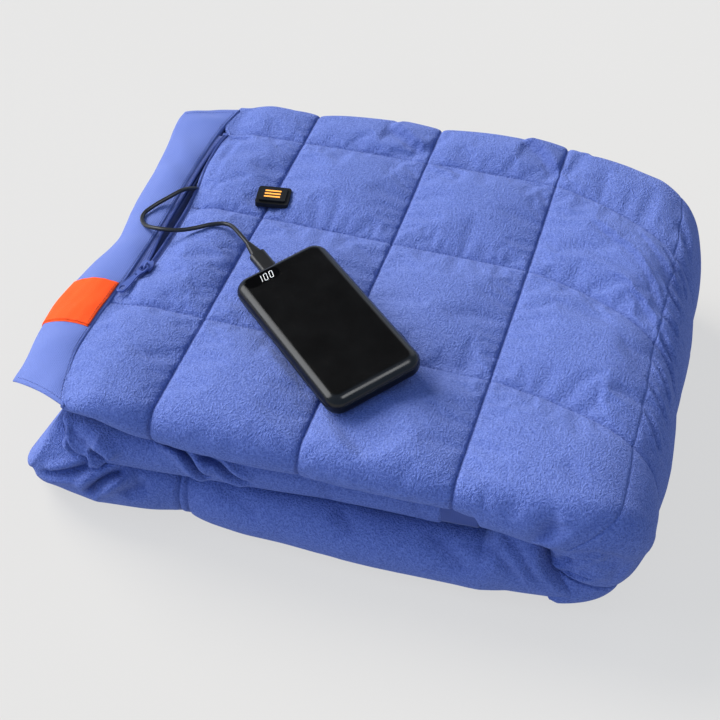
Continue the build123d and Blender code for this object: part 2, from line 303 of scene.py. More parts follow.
def fleece_material(name, base, dark, light, fuzz=(0.50, 0.60, 1.0)):
    """Brushed micro-fleece: short pebbled nap of about 1.4 mm, soft sheen."""
    mt, nt, bs = new_mat(name)
    v = coords(nt)
    n1 = noise(nt, v, 820.0, 1.0, 0.55)
    n2 = noise(nt, v, 1900.0, 1.0, 0.5)
    n3 = noise(nt, v, 26.0, 1.0, 0.5)
    mix = mathn(nt, "ADD", mathn(nt, "MULTIPLY", n1, 0.74), mathn(nt, "MULTIPLY", n2, 0.26))
    col = ramp(nt, mix, [(0.36, dark), (0.50, base), (0.64, light)])
    c2 = ramp(nt, n3, [(0.35, (0.982, 0.984, 0.988)), (0.65, (1.016, 1.014, 1.012))])
    mx = nd(nt, "ShaderNodeMix", data_type="RGBA", blend_type="MULTIPLY")
    mx.inputs["Factor"].default_value = 1.0
    nt.links.new(col, mx.inputs["A"])
    nt.links.new(c2, mx.inputs["B"])
    # painted shade: a mesh attribute darkens the colour along the sewn lines and the creases, where shade falls deep in
    # the nap
    painted_shade_attr = nd(nt, "ShaderNodeAttribute", attribute_name="painted_shade")
    painted_shade_mix = nd(nt, "ShaderNodeMix", data_type="RGBA", blend_type="MULTIPLY")
    nt.links.new(mathn(nt, "MULTIPLY", painted_shade_attr.outputs["Fac"], 0.50), painted_shade_mix.inputs["Factor"])
    nt.links.new(mx.outputs["Result"], painted_shade_mix.inputs["A"])
    painted_shade_mix.inputs["B"].default_value = (0.30, 0.33, 0.48, 1)
    nt.links.new(painted_shade_mix.outputs["Result"], bs.inputs["Base Color"])
    bs.inputs["Roughness"].default_value = 0.95
    bs.inputs["Specular IOR Level"].default_value = 0.12
    bs.inputs["Sheen Weight"].default_value = 0.16
    bs.inputs["Sheen Roughness"].default_value = 0.45
    bs.inputs["Sheen Tint"].default_value = (*fuzz, 1)
    bump(nt, bs, mix, 0.0016, 1.0)
    return mt


def woven_material(name, base, light, scale=1500.0, sheen=0.25, rough=0.72, bumpd=0.00025):
    """Smooth fine-woven cloth: a crossed thread grid with slight colour streaks."""
    mt, nt, bs = new_mat(name)
    v = coords(nt)
    w1 = nd(nt, "ShaderNodeTexWave", wave_type="BANDS", bands_direction="Y")
    w2 = nd(nt, "ShaderNodeTexWave", wave_type="BANDS", bands_direction="X")
    for w in (w1, w2):
        w.inputs["Scale"].default_value = scale / 6.28
        w.inputs["Distortion"].default_value = 0.4
        nt.links.new(v, w.inputs["Vector"])
    thr = mathn(nt, "MULTIPLY", w1.outputs["Fac"], w2.outputs["Fac"])
    n3 = noise(nt, coords(nt, (1.0, 0.25, 1.0)), 60.0, 3.0, 0.6)
    mix = mathn(nt, "ADD", mathn(nt, "MULTIPLY", thr, 0.35), mathn(nt, "MULTIPLY", n3, 0.65))
    col = ramp(nt, mix, [(0.2, base), (0.75, light)])
    nt.links.new(col, bs.inputs["Base Color"])
    bs.inputs["Roughness"].default_value = rough
    bs.inputs["Specular IOR Level"].default_value = 0.3
    bs.inputs["Sheen Weight"].default_value = sheen
    bs.inputs["Sheen Roughness"].default_value = 0.35
    bump(nt, bs, thr, bumpd, 0.7)
    return mt


def plastic_material(name, color, rough=0.4, grain=0.00006, gscale=1800.0, spec=0.5, coat=0.0):
    mt, nt, bs = new_mat(name)
    v = coords(nt)
    n1 = noise(nt, v, gscale, 2.0, 0.5)
    n2 = noise(nt, v, 45.0, 3.0, 0.55)
    col = ramp(nt, n2, [(0.3, tuple(c * 0.85 for c in color)), (0.7, tuple(c * 1.15 for c in color))])
    nt.links.new(col, bs.inputs["Base Color"])
    rr = nd(nt, "ShaderNodeMapRange")
    rr.inputs["From Min"].default_value = 0.3
    rr.inputs["From Max"].default_value = 0.7
    rr.inputs["To Min"].default_value = max(0.02, rough - 0.05)
    rr.inputs["To Max"].default_value = rough + 0.05
    nt.links.new(n2, rr.inputs["Value"])
    nt.links.new(rr.outputs["Result"], bs.inputs["Roughness"])
    bs.inputs["Specular IOR Level"].default_value = spec
    bs.inputs["Coat Weight"].default_value = coat
    bs.inputs["Coat Roughness"].default_value = 0.15
    bump(nt, bs, n1, grain, 0.6)
    return mt


def metal_material(name, color, rough=0.32):
    mt, nt, bs = new_mat(name)
    v = coords(nt, (1, 12, 12))
    n1 = noise(nt, v, 300.0, 3.0, 0.6)
    col = ramp(nt, n1, [(0.3, tuple(c * 0.8 for c in color)), (0.7, color)])
    nt.links.new(col, bs.inputs["Base Color"])
    bs.inputs["Metallic"].default_value = 1.0
    bs.inputs["Roughness"].default_value = rough
    bump(nt, bs, n1, 0.00004, 0.5)
    return mt


FLEECE = fleece_material("fleece", (0.096, 0.140, 0.395), (0.066, 0.100, 0.315), (0.124, 0.176, 0.460))
BINDING = woven_material("binding", (0.084, 0.124, 0.358), (0.103, 0.149, 0.405), sheen=0.12)
LINING = woven_material("lining", (0.048, 0.074, 0.240), (0.054, 0.082, 0.262), bumpd=0.0001)
TAPE = woven_material("zip_tape", (0.050, 0.076, 0.250), (0.070, 0.104, 0.320), scale=2600.0)
LABEL = woven_material("label", (0.72, 0.058, 0.004), (0.81, 0.080, 0.007), scale=3200.0, sheen=0.0, rough=0.7)
THREAD = woven_material("thread", (0.060, 0.090, 0.290), (0.095, 0.135, 0.390), scale=5200.0)
ORANGE_THREAD = woven_material("orange_thread", (0.36, 0.035, 0.008), (0.50, 0.06, 0.012), scale=5200.0)
ZIP_PLASTIC = plastic_material("zip_plastic", (0.060, 0.092, 0.300), rough=0.42, spec=0.35)
ENAMEL = plastic_material("enamel", (0.062, 0.096, 0.310), rough=0.34, coat=0.2, spec=0.4)
BANK = plastic_material("bank_plastic", (0.0032, 0.0032, 0.0033), rough=0.21, grain=0.00002, gscale=4200.0, spec=0.36)
BANK_LOW = plastic_material("bank_lower", (0.0035, 0.0035, 0.0036), rough=0.30, grain=0.00002, gscale=4200.0, spec=0.24)
WINDOW = plastic_material("bank_window", (0.0012, 0.0012, 0.0014), rough=0.10, grain=0.0, spec=0.3)
SILICONE = plastic_material("silicone", (0.0055, 0.0055, 0.006), rough=0.5, grain=0.00006, spec=0.3)
JACKET = plastic_material("jacket", (0.008, 0.008, 0.009), rough=0.36, grain=0.00002)
PLUG = plastic_material("plug", (0.010, 0.010, 0.0105), rough=0.4, grain=0.00005)
STEEL = metal_material("steel", (0.62, 0.62, 0.63))
FOIL = metal_material("cell_foil", (0.60, 0.61, 0.62), 0.4)
FOAM = plastic_material("foam", (0.06, 0.06, 0.06), rough=0.9, grain=0.0004, gscale=1500.0)
BOARD = plastic_material("board", (0.015, 0.11, 0.05), rough=0.35)
CARBON = woven_material("carbon_cloth", (0.02, 0.02, 0.022), (0.05, 0.05, 0.055), scale=2200.0)
WADDING = fleece_material("wadding", (0.75, 0.75, 0.72), (0.6, 0.6, 0.58), (0.85, 0.85, 0.83))
DISPLAY = plastic_material("display", (0.02, 0.02, 0.022), rough=0.3)


def glow_material(name, color, strength):
    mt, nt, bs = new_mat(name)
    v = coords(nt)
    n = noise(nt, v, 700.0, 2.0, 0.5)
    col = ramp(nt, n, [(0.3, tuple(c * 0.9 for c in color)), (0.7, color)])
    nt.links.new(col, bs.inputs["Base Color"])
    nt.links.new(col, bs.inputs["Emission Color"])
    bs.inputs["Emission Strength"].default_value = strength
    bs.inputs["Roughness"].default_value = 0.35
    return mt


AMBER = glow_material("amber", (0.90, 0.36, 0.06), 0.45)
DIGIT = glow_material("digit", (0.72, 0.75, 0.76), 0.28)

# ------------------------------------------------------------------ quilt surfaces
# Each fold is a closed tube grid: rows run along the fold, and each row goes round
# its section. S and V are distances along the cloth, used for seams and wrinkles.
U_LINES = [-0.108, -0.013, 0.083, 0.1755, 0.262]
V_LINES = [0.138, 0.044, -0.068, -0.190]
XW = 0.154               # where the flat top meets the round fold
ZC = 0.0508              # height of the round fold's axis
RA, RB, RN, RN_LOW = 0.0405, 0.0488, 2.35, 3.3
U_PIN = [-0.108, -0.013, 0.083, 0.262]
TOP_Z = ZC + RB
THICK = 0.0345
XQ = -0.1585             # edge of the quilt beside the zip
YF, YB = -0.1635, 0.184


def cell_profile(x, lines, lo, hi, p):
    ls = sorted([lo] + list(lines) + [hi])
    x = np.asarray(x, float)
    out = np.zeros_like(x)
    for a, b in zip(ls[:-1], ls[1:]):
        m_ = (x >= a) & (x <= b)
        d = 1 - np.abs(2 * (x - a) / (b - a) - 1)
        out = np.where(m_, 1 - (1 - d) ** p, out)
    return out


def cell_id(x, lines):
    return np.searchsorted(np.array(sorted(lines)), x)


def seam_distance(x, lines):
    d = np.full(np.shape(x), 9.0)
    for l in lines:
        d = np.minimum(d, np.abs(x - l))
    return d


def front_y(s):
    return lerp_table(s, [(-0.2, -0.1655), (-0.12, -0.1650), (0.06, -0.1650), (0.12, -0.1665), (0.165, -0.1660), (0.19, -0.1600),
                          (0.225, -0.1500), (0.262, -0.1490), (0.31, -0.1540), (0.34, -0.1560)])


def back_y(s):
    return smooth_table(s, [(-0.2, 0.170), (-0.158, 0.176), (-0.132, 0.1805), (-0.086, 0.1865), (-0.047, 0.1895), (-0.013, 0.1900), (0.03, 0.1925), (0.083, 0.1925),
                            (0.11, 0.1905), (0.135, 0.1860), (0.165, 0.1800), (0.19, 0.1750), (0.225, 0.1690), (0.262, 0.1680), (0.31, 0.1730)])


def arc_xz(t):
    n = np.where(t < PI / 2, RN, RN_LOW)
    return np.abs(np.sin(t)) ** (2 / n), np.sign(np.cos(t)) * np.abs(np.cos(t)) ** (2 / n)


def wrap_arc():
    t = np.linspace(0, PI, 1441)
    x, z = arc_xz(t)
    l = np.concatenate([[0], np.cumsum(np.hypot(np.diff(RA * x), np.diff(RB * z)))])
    return t, l


ARC_T, ARC_L = wrap_arc()
ARC = float(ARC_L[-1])


def fold_line(s, depth):
    """Point in the XZ plane at distance s along the outer cloth, depth below it."""
    t = np.interp(np.clip(s - XW, 0, ARC), ARC_L, ARC_T)
    a, b = RA - depth, RB - depth
    ux, uz = arc_xz(t)
    x = np.where(s <= XW, s, XW + a * ux)
    z = np.where(s <= XW, TOP_Z - depth, ZC + b * uz)
    return x, z


def top_thick(s):
    """Thickness of the top fold; it swells where it turns into the round fold."""
    return smooth_table(s, [(-0.16, 0.0275), (0.0, 0.0275), (0.05, 0.0255), (0.088, 0.0255), (0.115, 0.0300), (0.14, 0.0345), (0.31, 0.0345)])


def build_wrap(step, inner_step):
    s = np.concatenate([segs([XQ, -0.108, -0.013, 0.083, XW], step)[:-1], segs([XW, 0.1755, 0.262, XW + ARC], step)])
    T = THICK
    r = T / 2
    vo = segs([YB - r, 0.138, 0.044, -0.068, YF + r], step)
    nb = max(8, int(round(PI * r / step)))
    ang = np.linspace(0, PI, nb + 1)[1:-1]
    n_in = max(12, int(round((YB - YF - 2 * r) / inner_step)))
    vi = np.linspace(YF + r, YB - r, n_in + 1)
    # kind: 0 outer, 1 front bend, 2 inner, 3 back bend
    kind = np.concatenate([np.zeros(len(vo)), np.ones(len(ang)), np.full(len(vi), 2), np.full(len(ang), 3)])
    par = np.concatenate([vo, ang, vi, ang])
    S, K_ = np.meshgrid(s, kind, indexing="ij")
    _, Q = np.meshgrid(s, par, indexing="ij")
    th = 0.0105 + (top_thick(S) - 0.0105) * sstep((S - XQ) / 0.055)
    r_ = th / 2
    f, b = front_y(S), back_y(S)
    # flat part stretched between the local front and back bends
    tt = (Q - (YF + r)) / (YB - YF - 2 * r)
    y_flat = (f + r_) + tt * ((b - r_) - (f + r_))
    # on the round fold the cloth is skewed, so the seams across it swing to the front
    drift = lerp_table(S, [(0.085, 0.0), (0.118, 0.009), (0.149, 0.023), (0.175, 0.041), (0.200, 0.057), (0.262, 0.072), (0.34, 0.075)])
    a_ = 0.138 - drift
    b_ = -0.068 - 0.62 * drift
    y_mid = np.where(Q > 0.138, a_ + (Q - 0.138) * ((b - r_) - a_) / (YB - r - 0.138),
                     np.where(Q < -0.068, b_ + (Q + 0.068) * ((f + r_) - b_) / (YF + r + 0.068),
                              np.where(Q > 0.044, Q - drift, Q - drift * (0.62 + 0.38 * (Q + 0.068) / 0.112))))
    Y = np.where(K_ == 0, y_mid, np.where(K_ == 2, y_flat, np.where(K_ == 1, f + r_ - r_ * np.sin(Q), b - r_ + r_ * np.sin(Q))))
    depth = np.where(K_ == 0, 0, np.where(K_ == 2, th, np.where(K_ == 1, r_ * (1 - np.cos(Q)), r_ * (1 + np.cos(Q)))))
    X, Z = fold_line(S, depth)
    V = np.where(K_ == 0, Q, np.where(K_ == 1, YF + r - r * Q, np.where(K_ == 2, YF + r - PI * r, YB - r + r * (PI - Q))))
    O = np.where(K_ == 0, 1.0, np.where(K_ == 1, sstep((PI - Q) / 1.1), np.where(K_ == 2, 0.0, sstep(Q / 1.1))))
    pin = np.where(K_ == 2, 1.0, 0.0)
    for u in U_PIN:
        pin = np.maximum(pin, (np.abs(S - u) < 1e-5) * (K_ != 2) * 1.0)
    for v in V_LINES[:3]:
        pin = np.maximum(pin, ((np.abs(Q - v) < 1e-5) & (K_ == 0)) * 1.0)
    P = np.stack([X, Y, Z], -1)
    return P, S, V, O, pin


def cap_rings(ring, sign, r, n, floor=0.04):
    """Rings that close the end of a tube with a rounded lip."""
    out = []
    zc = 0.5 * (ring[:, 2].max() + ring[:, 2].min())
    for k in range(1, n + 1):
        t = k / n * (PI / 2)
        q = ring.copy()
        q[:, 2] = zc + (q[:, 2] - zc) * max(math.cos(t), floor)
        q[:, 0] += sign * r * math.sin(t)
        out.append(q)
    return out


def puff(S, V):
    f = cell_profile(S, U_PIN, XQ - 0.001, 0.345, 2.6) * cell_profile(V, V_LINES, -0.30, 0.235, 2.6)
    ci, cj = cell_id(S, U_PIN), cell_id(V, V_LINES)
    k = np.random.default_rng(5).uniform(0.88, 1.12, (16, 16))
    return f * k[ci, cj] * row_gain(S, V)


def row_gain(S, V):
    """The quilting is flatter along the back edge and round the fold."""
    return (1 - 0.62 * sstep((V - 0.148) / 0.028)) * (1 - 0.45 * sstep((S - 0.150) / 0.03))


def stroke(S, V, pts, amp, width, kind="crease", ends=0.25):
    """A crease, ridge or step along a polyline in cloth coordinates (smoothed)."""
    p = np.array(pts, float)
    if len(p) > 2:
        t = np.linspace(0, len(p) - 1, 6 * (len(p) - 1) + 1)
        i = np.minimum(t.astype(int), len(p) - 2)
        f = (t - i)[:, None]
        g = lambda o: p[np.clip(i + o, 0, len(p) - 1)]
        p = 0.5 * (2 * g(0) + (g(1) - g(-1)) * f + (2 * g(-1) - 5 * g(0) + 4 * g(1) - g(2)) * f ** 2 + (3 * g(0) - g(-1) - 3 * g(1) + g(2)) * f ** 3)
    best = np.full(S.shape, 9.0)
    side = np.zeros(S.shape)
    along = np.zeros(S.shape)
    L = np.concatenate([[0], np.cumsum(np.linalg.norm(np.diff(p, axis=0), axis=1))])
    for k in range(len(p) - 1):
        a, b = p[k], p[k + 1]
        d = b - a
        l2 = max(d @ d, 1e-12)
        u = np.clip(((S - a[0]) * d[0] + (V - a[1]) * d[1]) / l2, 0, 1)
        dx, dy = S - (a[0] + u * d[0]), V - (a[1] + u * d[1])
        dist = np.hypot(dx, dy)
        m_ = dist < best
        best = np.where(m_, dist, best)
        side = np.where(m_, np.sign(d[0] * dy - d[1] * dx), side)
        along = np.where(m_, (L[k] + u * math.sqrt(l2)) / L[-1], along)
    fade = sstep(along / ends) * sstep((1 - along) / ends) if ends > 0 else 1.0
    if kind == "crease":
        return -amp * np.exp(-(best / width) ** 2) * fade
    if kind == "ridge":
        return amp * np.exp(-(best / width) ** 2) * fade
    if kind == "fold":          # a sharp valley between two soft lips
        return amp * (0.55 * np.exp(-((best - 1.3 * width) / width) ** 2) - np.exp(-(best / (0.55 * width)) ** 2)) * fade
    if kind == "step":          # raised on the left of the line, sunk on the right
        return amp * fade * side * (1 - np.exp(-best / (0.25 * width))) * np.exp(-best / width)
    return 0 * best


LIP = [(-0.190, -0.1610), (-0.1662, -0.1625), (-0.156, -0.1668), (-0.138, -0.1716), (-0.122, -0.1747), (-0.097, -0.1754), (-0.077, -0.1751), (-0.057, -0.1736),
       (-0.046, -0.1700), (-0.036, -0.1612), (-0.018, -0.1590), (0.0, -0.1582), (0.015, -0.1580), (0.030, -0.1588), (0.047, -0.1604), (0.061, -0.1628),
       (0.075, -0.1656), (0.090, -0.1676), (0.108, -0.1684), (0.125, -0.1670), (0.136, -0.1650), (0.146, -0.1722), (0.160, -0.1705), (0.190, -0.1680)]
INNER = [(0.100, 0.1000, 0.0655), (0.122, 0.1140, 0.0650), (0.154, 0.1270, 0.0600), (0.190, 0.1330, 0.0520), (0.225, 0.1370, 0.0420),
         (0.262, 0.1400, 0.0330), (0.300, 0.1480, 0.0200), (0.330, 0.1560, 0.0110)]


def inner_line(s, th):
    x = np.where(s < 0.100, s, lerp_table(s, [(p[0], p[1]) for p in INNER]))
    z = np.where(s < 0.100, TOP_Z - th, lerp_table(s, [(p[0], p[2]) for p in INNER]))
    return x, z


def wrap_tube(step, inner_step):
    """The top fold and the round fold as one tube of cloth."""
    P, S, V, O, pin = build_wrap(step, inner_step)
    th = 0.0105 + (top_thick(S) - 0.0105) * sstep((S - XQ) / 0.055)
    ox, oz = fold_line(S, 0 * S)
    # how deep each point lies between the outer and inner cloth
    dep = np.hypot(P[..., 0] - ox, P[..., 2] - oz) / th
    ix, iz = inner_line(S, th)
    q = np.clip(dep, 0, 1)
    P = np.stack([ox + (ix - ox) * q, P[..., 1], oz + (iz - oz) * q], -1)
    # the left edge follows the band seam and the lip of the zip, and sinks to meet them
    k = np.clip(1 - (S - XQ) / 0.030, 0, 1) ** 1.5
    P[..., 0] += (smooth_table(P[..., 1], LIP) - XQ) * k
    dip = 1 - sstep((S - XQ) / 0.019)
    P[..., 2] -= 0.0040 * dip * (1 - q) ** 0.5
    # the pack is fuller towards the back, and the round fold is narrower there
    P[..., 2] += (1 - q) * lerp_table(S, [(-0.13, 0.0), (-0.06, 0.0030), (0.0, 0.0048), (0.083, 0.0060), (0.13, 0.0040), (0.170, 0.0)]) * sstep((P[..., 1] - 0.055) / 0.11)
    side = smooth_table(P[..., 1], [(-0.20, 0.2020), (-0.13, 0.2020), (-0.06, 0.2000), (0.0, 0.1975), (0.06, 0.1968), (0.11, 0.1958), (0.15, 0.1905), (0.185, 0.1815)])
    P[..., 0] = np.where(P[..., 0] > XW, XW + (P[..., 0] - XW) * (side - XW) / RA, P[..., 0])
    # the front corner tucks in towards the floor
    P[..., 0] -= 0.0110 * sstep((0.096 - P[..., 2]) / 0.094) * sstep((-0.060 - P[..., 1]) / 0.092) * np.clip((P[..., 0] - XW) / 0.045, 0, 1)
    return P, S, V, O, pin


def roll_tube(x0, x1, step, front, back, z0, z1, left=None, right=None, xl=0.0, xr=0.0, inner_step=0.012, marks=()):
    """One fold that lies flat: a stadium section with a round front and back.
    W is the distance along the cloth from the foremost point, up is positive."""
    s = segs(sorted([x0, x1] + [m_ for m_ in marks if x0 < m_ < x1]), step)
    nb = 15
    ang = np.linspace(0, PI, nb + 1)[1:-1]
    n_in = max(12, int(round(0.30 / inner_step)))
    u = np.linspace(0, 1, n_in + 1)
    kind = np.concatenate([np.zeros(len(u)), np.ones(len(ang)), np.full(len(u), 2), np.full(len(ang), 3)])
    par = np.concatenate([u[::-1], ang, u, ang])
    S, K_ = np.meshgrid(s, kind, indexing="ij")
    _, Q = np.meshgrid(s, par, indexing="ij")
    f, b, a0, a1 = lerp_table(S, front), lerp_table(S, back), lerp_table(S, z0), lerp_table(S, z1)
    r = (a1 - a0) / 2
    yf, yb = f + r, b - r
    Y = np.where(K_ == 1, yf - r * np.sin(Q) ** 0.92, np.where(K_ == 3, yb + r * np.sin(Q), yf + (yb - yf) * Q))
    Z = np.where(K_ == 0, a1, np.where(K_ == 2, a0, np.where(K_ == 1, a0 + r + r * np.cos(Q), a0 + r - r * np.cos(Q))))
    W = np.where(K_ == 1, (PI / 2 - Q) * r, np.where(K_ == 0, PI / 2 * r + (Y - yf), np.where(K_ == 2, -PI / 2 * r - (Y - yf), 1.0)))
    X = S.copy()
    if left is not None:
        k = np.clip((xl - S) / (xl - x0), 0, 1)
        X = np.where(S < xl, xl + (lerp_table(Z, left) - xl) * k, X)
    if right is not None:
        k = np.clip((S - xr) / (x1 - xr), 0, 1)
        X = np.where(S > xr, xr + (lerp_table(Z, right) - xr) * k, X)
    P = np.stack([X, Y, Z], -1)
    return P, S, W, K_


def plan_round(P, x_end, sign, y_front, y_back, r):
    """Rounds the corners of a tube end in plan."""
    d = np.clip((r - sign * (x_end - P[..., 0])) / r, 0, 1)
    c = r * (1 - np.sqrt(np.clip(1 - d ** 2, 0, 1)))
    ym = (y_front + y_back) / 2
    k = (P[..., 1] - ym) / ((y_back - y_front) / 2)
    P = P.copy()
    P[..., 1] -= c * np.clip(k, -1, 1) ** 5 * np.sign(1.0)
    return P


BOT_FRONT = [(-0.210, -0.1660), (-0.175, -0.1690), (-0.150, -0.1705), (-0.120, -0.1650), (-0.103, -0.1615), (-0.090, -0.1615), (-0.050, -0.1650),
             (0.016, -0.1670), (0.110, -0.1645), (0.150, -0.1600), (0.170, -0.1560)]
BOT_TOP = [(-0.210, 0.0640), (-0.176, 0.0630), (-0.150, 0.0500), (-0.120, 0.0450), (-0.085, 0.0425), (0.080, 0.0430), (0.104, 0.0450), (0.120, 0.0590), (0.170, 0.0640)]
BOT_LEFT = [(0.0, -0.2000), (0.008, -0.2030), (0.020, -0.1985), (0.033, -0.1910), (0.048, -0.1830), (0.064, -0.1740)]
BOT_RIGHT = [(0.0, 0.1680), (0.010, 0.1610), (0.022, 0.1480), (0.035, 0.1380), (0.043, 0.1340), (0.056, 0.1300), (0.064, 0.1200)]


def bottom_tube(step):
    P, S, W, K_ = roll_tube(-0.198, 0.160, step, BOT_FRONT, [(-0.2, 0.181), (0.17, 0.181)], [(-0.2, 0.0), (0.2, 0.0)], BOT_TOP,
                            BOT_LEFT, BOT_RIGHT, -0.130, 0.100, marks=(-0.0975, -0.0925))
    return P, S, W, K_


MID_FRONT = [(-0.180, -0.1640), (-0.150, -0.1660), (-0.100, -0.1625), (-0.050, -0.1580), (0.0, -0.1530), (0.080, -0.1500), (0.105, -0.1480)]
MID_Z0 = [(-0.180, 0.0400), (-0.140, 0.0405), (-0.090, 0.0415), (0.100, 0.0425)]
MID_Z1 = [(-0.180, 0.0715), (-0.120, 0.0718), (0.100, 0.0722)]


def middle_tube(step):
    return roll_tube(-0.172, 0.072, step, MID_FRONT, [(-0.2, 0.178), (0.17, 0.178)], MID_Z0, MID_Z1,
                     [(0.040, -0.1560), (0.050, -0.1660), (0.069, -0.1700)], None, -0.150, 0.0, marks=())
# creases and folds, in cloth coordinates: kind, height, width, fade at the ends, points
TOP_STROKES = [
    ("step", 0.0050, 0.0090, 0.20, [(-0.053, 0.1644), (-0.038, 0.1572), (-0.0155, 0.1452)]),
    ("fold", 0.0016, 0.0040, 0.35, [(-0.0105, 0.1404), (0.0097, 0.1331), (0.0198, 0.1281)]),
    ("step", 0.0050, 0.0090, 0.20, [(0.0476, 0.1668), (0.0628, 0.162), (0.0754, 0.1524), (0.0855, 0.1452)]),
    ("step", 0.0034, 0.0100, 0.30, [(0.1008, 0.1182), (0.1286, 0.1058), (0.1489, 0.0984), (0.1621, 0.0885), (0.1728, 0.0737), (0.178, 0.0613)]),
    ("fold", 0.0024, 0.0040, 0.40, [(0.1594, 0.1306), (0.1701, 0.1256), (0.178, 0.1182), (0.1857, 0.1133)]),
    ("fold", 0.0026, 0.0040, 0.40, [(0.1701, 0.1034), (0.1806, 0.0935), (0.1959, 0.0959)]),
    ("fold", 0.0024, 0.0040, 0.40, [(0.1701, 0.0737), (0.1831, 0.0712), (0.1984, 0.0786)]),
    ("fold", 0.0026, 0.0040, 0.40, [(0.1728, 0.0613), (0.1831, 0.0514), (0.2009, 0.0564)]),
    ("fold", 0.0023, 0.0040, 0.40, [(0.1728, 0.0262), (0.1857, 0.0185), (0.1959, 0.0058)]),
    ("fold", 0.0020, 0.0040, 0.40, [(0.1728, 0.0007), (0.1831, -0.0069), (0.1959, -0.012)]),
    ("fold", 0.0020, 0.0040, 0.40, [(0.1755, -0.0273), (0.1857, -0.0375), (0.1959, -0.0451)]),
    ("fold", 0.0026, 0.0040, 0.40, [(0.1701, 0.1524), (0.1806, 0.15), (0.1908, 0.1428)]),
    ("fold", 0.0020, 0.0040, 0.40, [(0.1728, 0.1207), (0.1831, 0.1232), (0.1933, 0.1157)]),
    ("crease", 0.0009, 0.0040, 0.40, [(0.1567, 0.0588), (0.1648, 0.0564), (0.1728, 0.0564)]),
    ("crease", 0.0009, 0.0040, 0.40, [(0.1567, -0.0273), (0.1648, -0.0298), (0.1728, -0.0247)]),
    ("crease", 0.0008, 0.0040, 0.40, [(0.1515, 0.0135), (0.1648, 0.016), (0.1728, 0.0185)]),
    ("step", 0.0070, 0.0100, 0.42, [(0.1464, -0.1758), (0.1648, -0.1783), (0.178, -0.1758), (0.1908, -0.1684), (0.2086, -0.1635), (0.2366, -0.1512)]),
    ("crease", 0.0050, 0.0080, 0.40, [(0.1594, -0.1783), (0.1489, -0.166), (0.1515, -0.1586)]),
    ("crease", 0.0012, 0.0070, 0.40, [(0.1134, -0.1684), (0.1185, -0.1635), (0.1286, -0.1586)]),
    ("fold", 0.0024, 0.0035, 0.40, [(0.2518, -0.1881), (0.2162, -0.1758), (0.234, -0.1635)]),
    ("fold", 0.0024, 0.0035, 0.40, [(0.2671, -0.1832), (0.2467, -0.1733), (0.2544, -0.1635)]),
    ("fold", 0.0020, 0.0035, 0.40, [(0.1984, -0.1807), (0.2493, -0.1783), (0.2671, -0.166)]),
    ("fold", 0.0024, 0.0035, 0.40, [(0.2009, -0.1684), (0.2315, -0.1635), (0.262, -0.1635)]),
    ("fold", 0.0020, 0.0032, 0.25, [(-0.156, 0.1207), (-0.156, 0.1306), (-0.1484, 0.1306), (-0.1434, 0.1281)]),
    ("fold", 0.0014, 0.0026, 0.20, [(-0.1459, 0.1281), (-0.1509, 0.1256), (-0.1509, 0.1108), (-0.1509, 0.0984), (-0.1509, 0.0836), (-0.1484, 0.0638), (-0.1484, 0.0514)]),
    ("step", 0.0026, 0.0080, 0.30, [(0.1413, 0.1256), (0.154, 0.1207), (0.1648, 0.1133), (0.178, 0.1083), (0.1933, 0.1133)]),
    ("crease", 0.0018, 0.0080, 0.35, [(0.0906, 0.0687), (0.116, 0.0786), (0.1439, 0.0786), (0.1594, 0.0712), (0.1701, 0.0638)]),
    ("step", 0.0024, 0.0080, 0.30, [(0.1286, 0.0687), (0.154, 0.0663), (0.1701, 0.0588), (0.1755, 0.044)]),
    ("crease", 0.0020, 0.0090, 0.35, [(0.1109, 0.0211), (0.1388, 0.0211), (0.1621, 0.0084), (0.1728, -0.012)]),
    ("crease", 0.0016, 0.0100, 0.35, [(0.0325, -0.0298), (0.0577, -0.0171), (0.0805, -0.0145)]),
    ("crease", 0.0015, 0.0090, 0.35, [(0.0375, -0.068), (0.0577, -0.0629), (0.0779, -0.0629)]),
    ("crease", 0.0015, 0.0090, 0.35, [(0.1388, -0.1169), (0.1489, -0.134), (0.1567, -0.1512)]),
    ("crease", 0.0014, 0.0090, 0.35, [(-0.1535, 0.0935), (-0.1434, 0.1083), (-0.1257, 0.1133)]),
]
BOTTOM_STROKES = [
    ("fold", 0.0060, 0.0045, 0.25, [(-0.194, -0.0033), (-0.1819, 0.0), (-0.1678, 0.0093), (-0.1538, 0.0217)]),
    ("fold", 0.0070, 0.0045, 0.20, [(-0.1558, -0.0083), (-0.1498, 0.0052), (-0.1397, 0.0152), (-0.1276, 0.0194)]),
    ("ridge", 0.0035, 0.0070, 0.30, [(-0.1457, 0.0), (-0.1357, 0.01), (-0.1196, 0.0165)]),
    ("crease", 0.0036, 0.0060, 0.30, [(-0.1317, 0.0), (-0.1236, 0.0072), (-0.1136, 0.014)]),
    ("crease", 0.0024, 0.0070, 0.30, [(0.0037, 0.0314), (0.0157, 0.0224), (0.0217, 0.0112)]),
    ("crease", 0.0024, 0.0080, 0.30, [(0.0618, 0.027), (0.0798, 0.018), (0.0979, 0.0)]),
    ("crease", 0.0024, 0.0060, 0.30, [(0.0939, 0.0277), (0.1259, 0.0125), (0.144, -0.0096)]),
    ("crease", 0.0014, 0.0060, 0.30, [(-0.0725, 0.0223), (-0.0524, 0.0156), (-0.0364, 0.0089)]),
    ("crease", 0.0024, 0.0060, 0.30, [(0.1219, 0.031), (0.15, 0.013), (0.154, -0.0131)]),
]
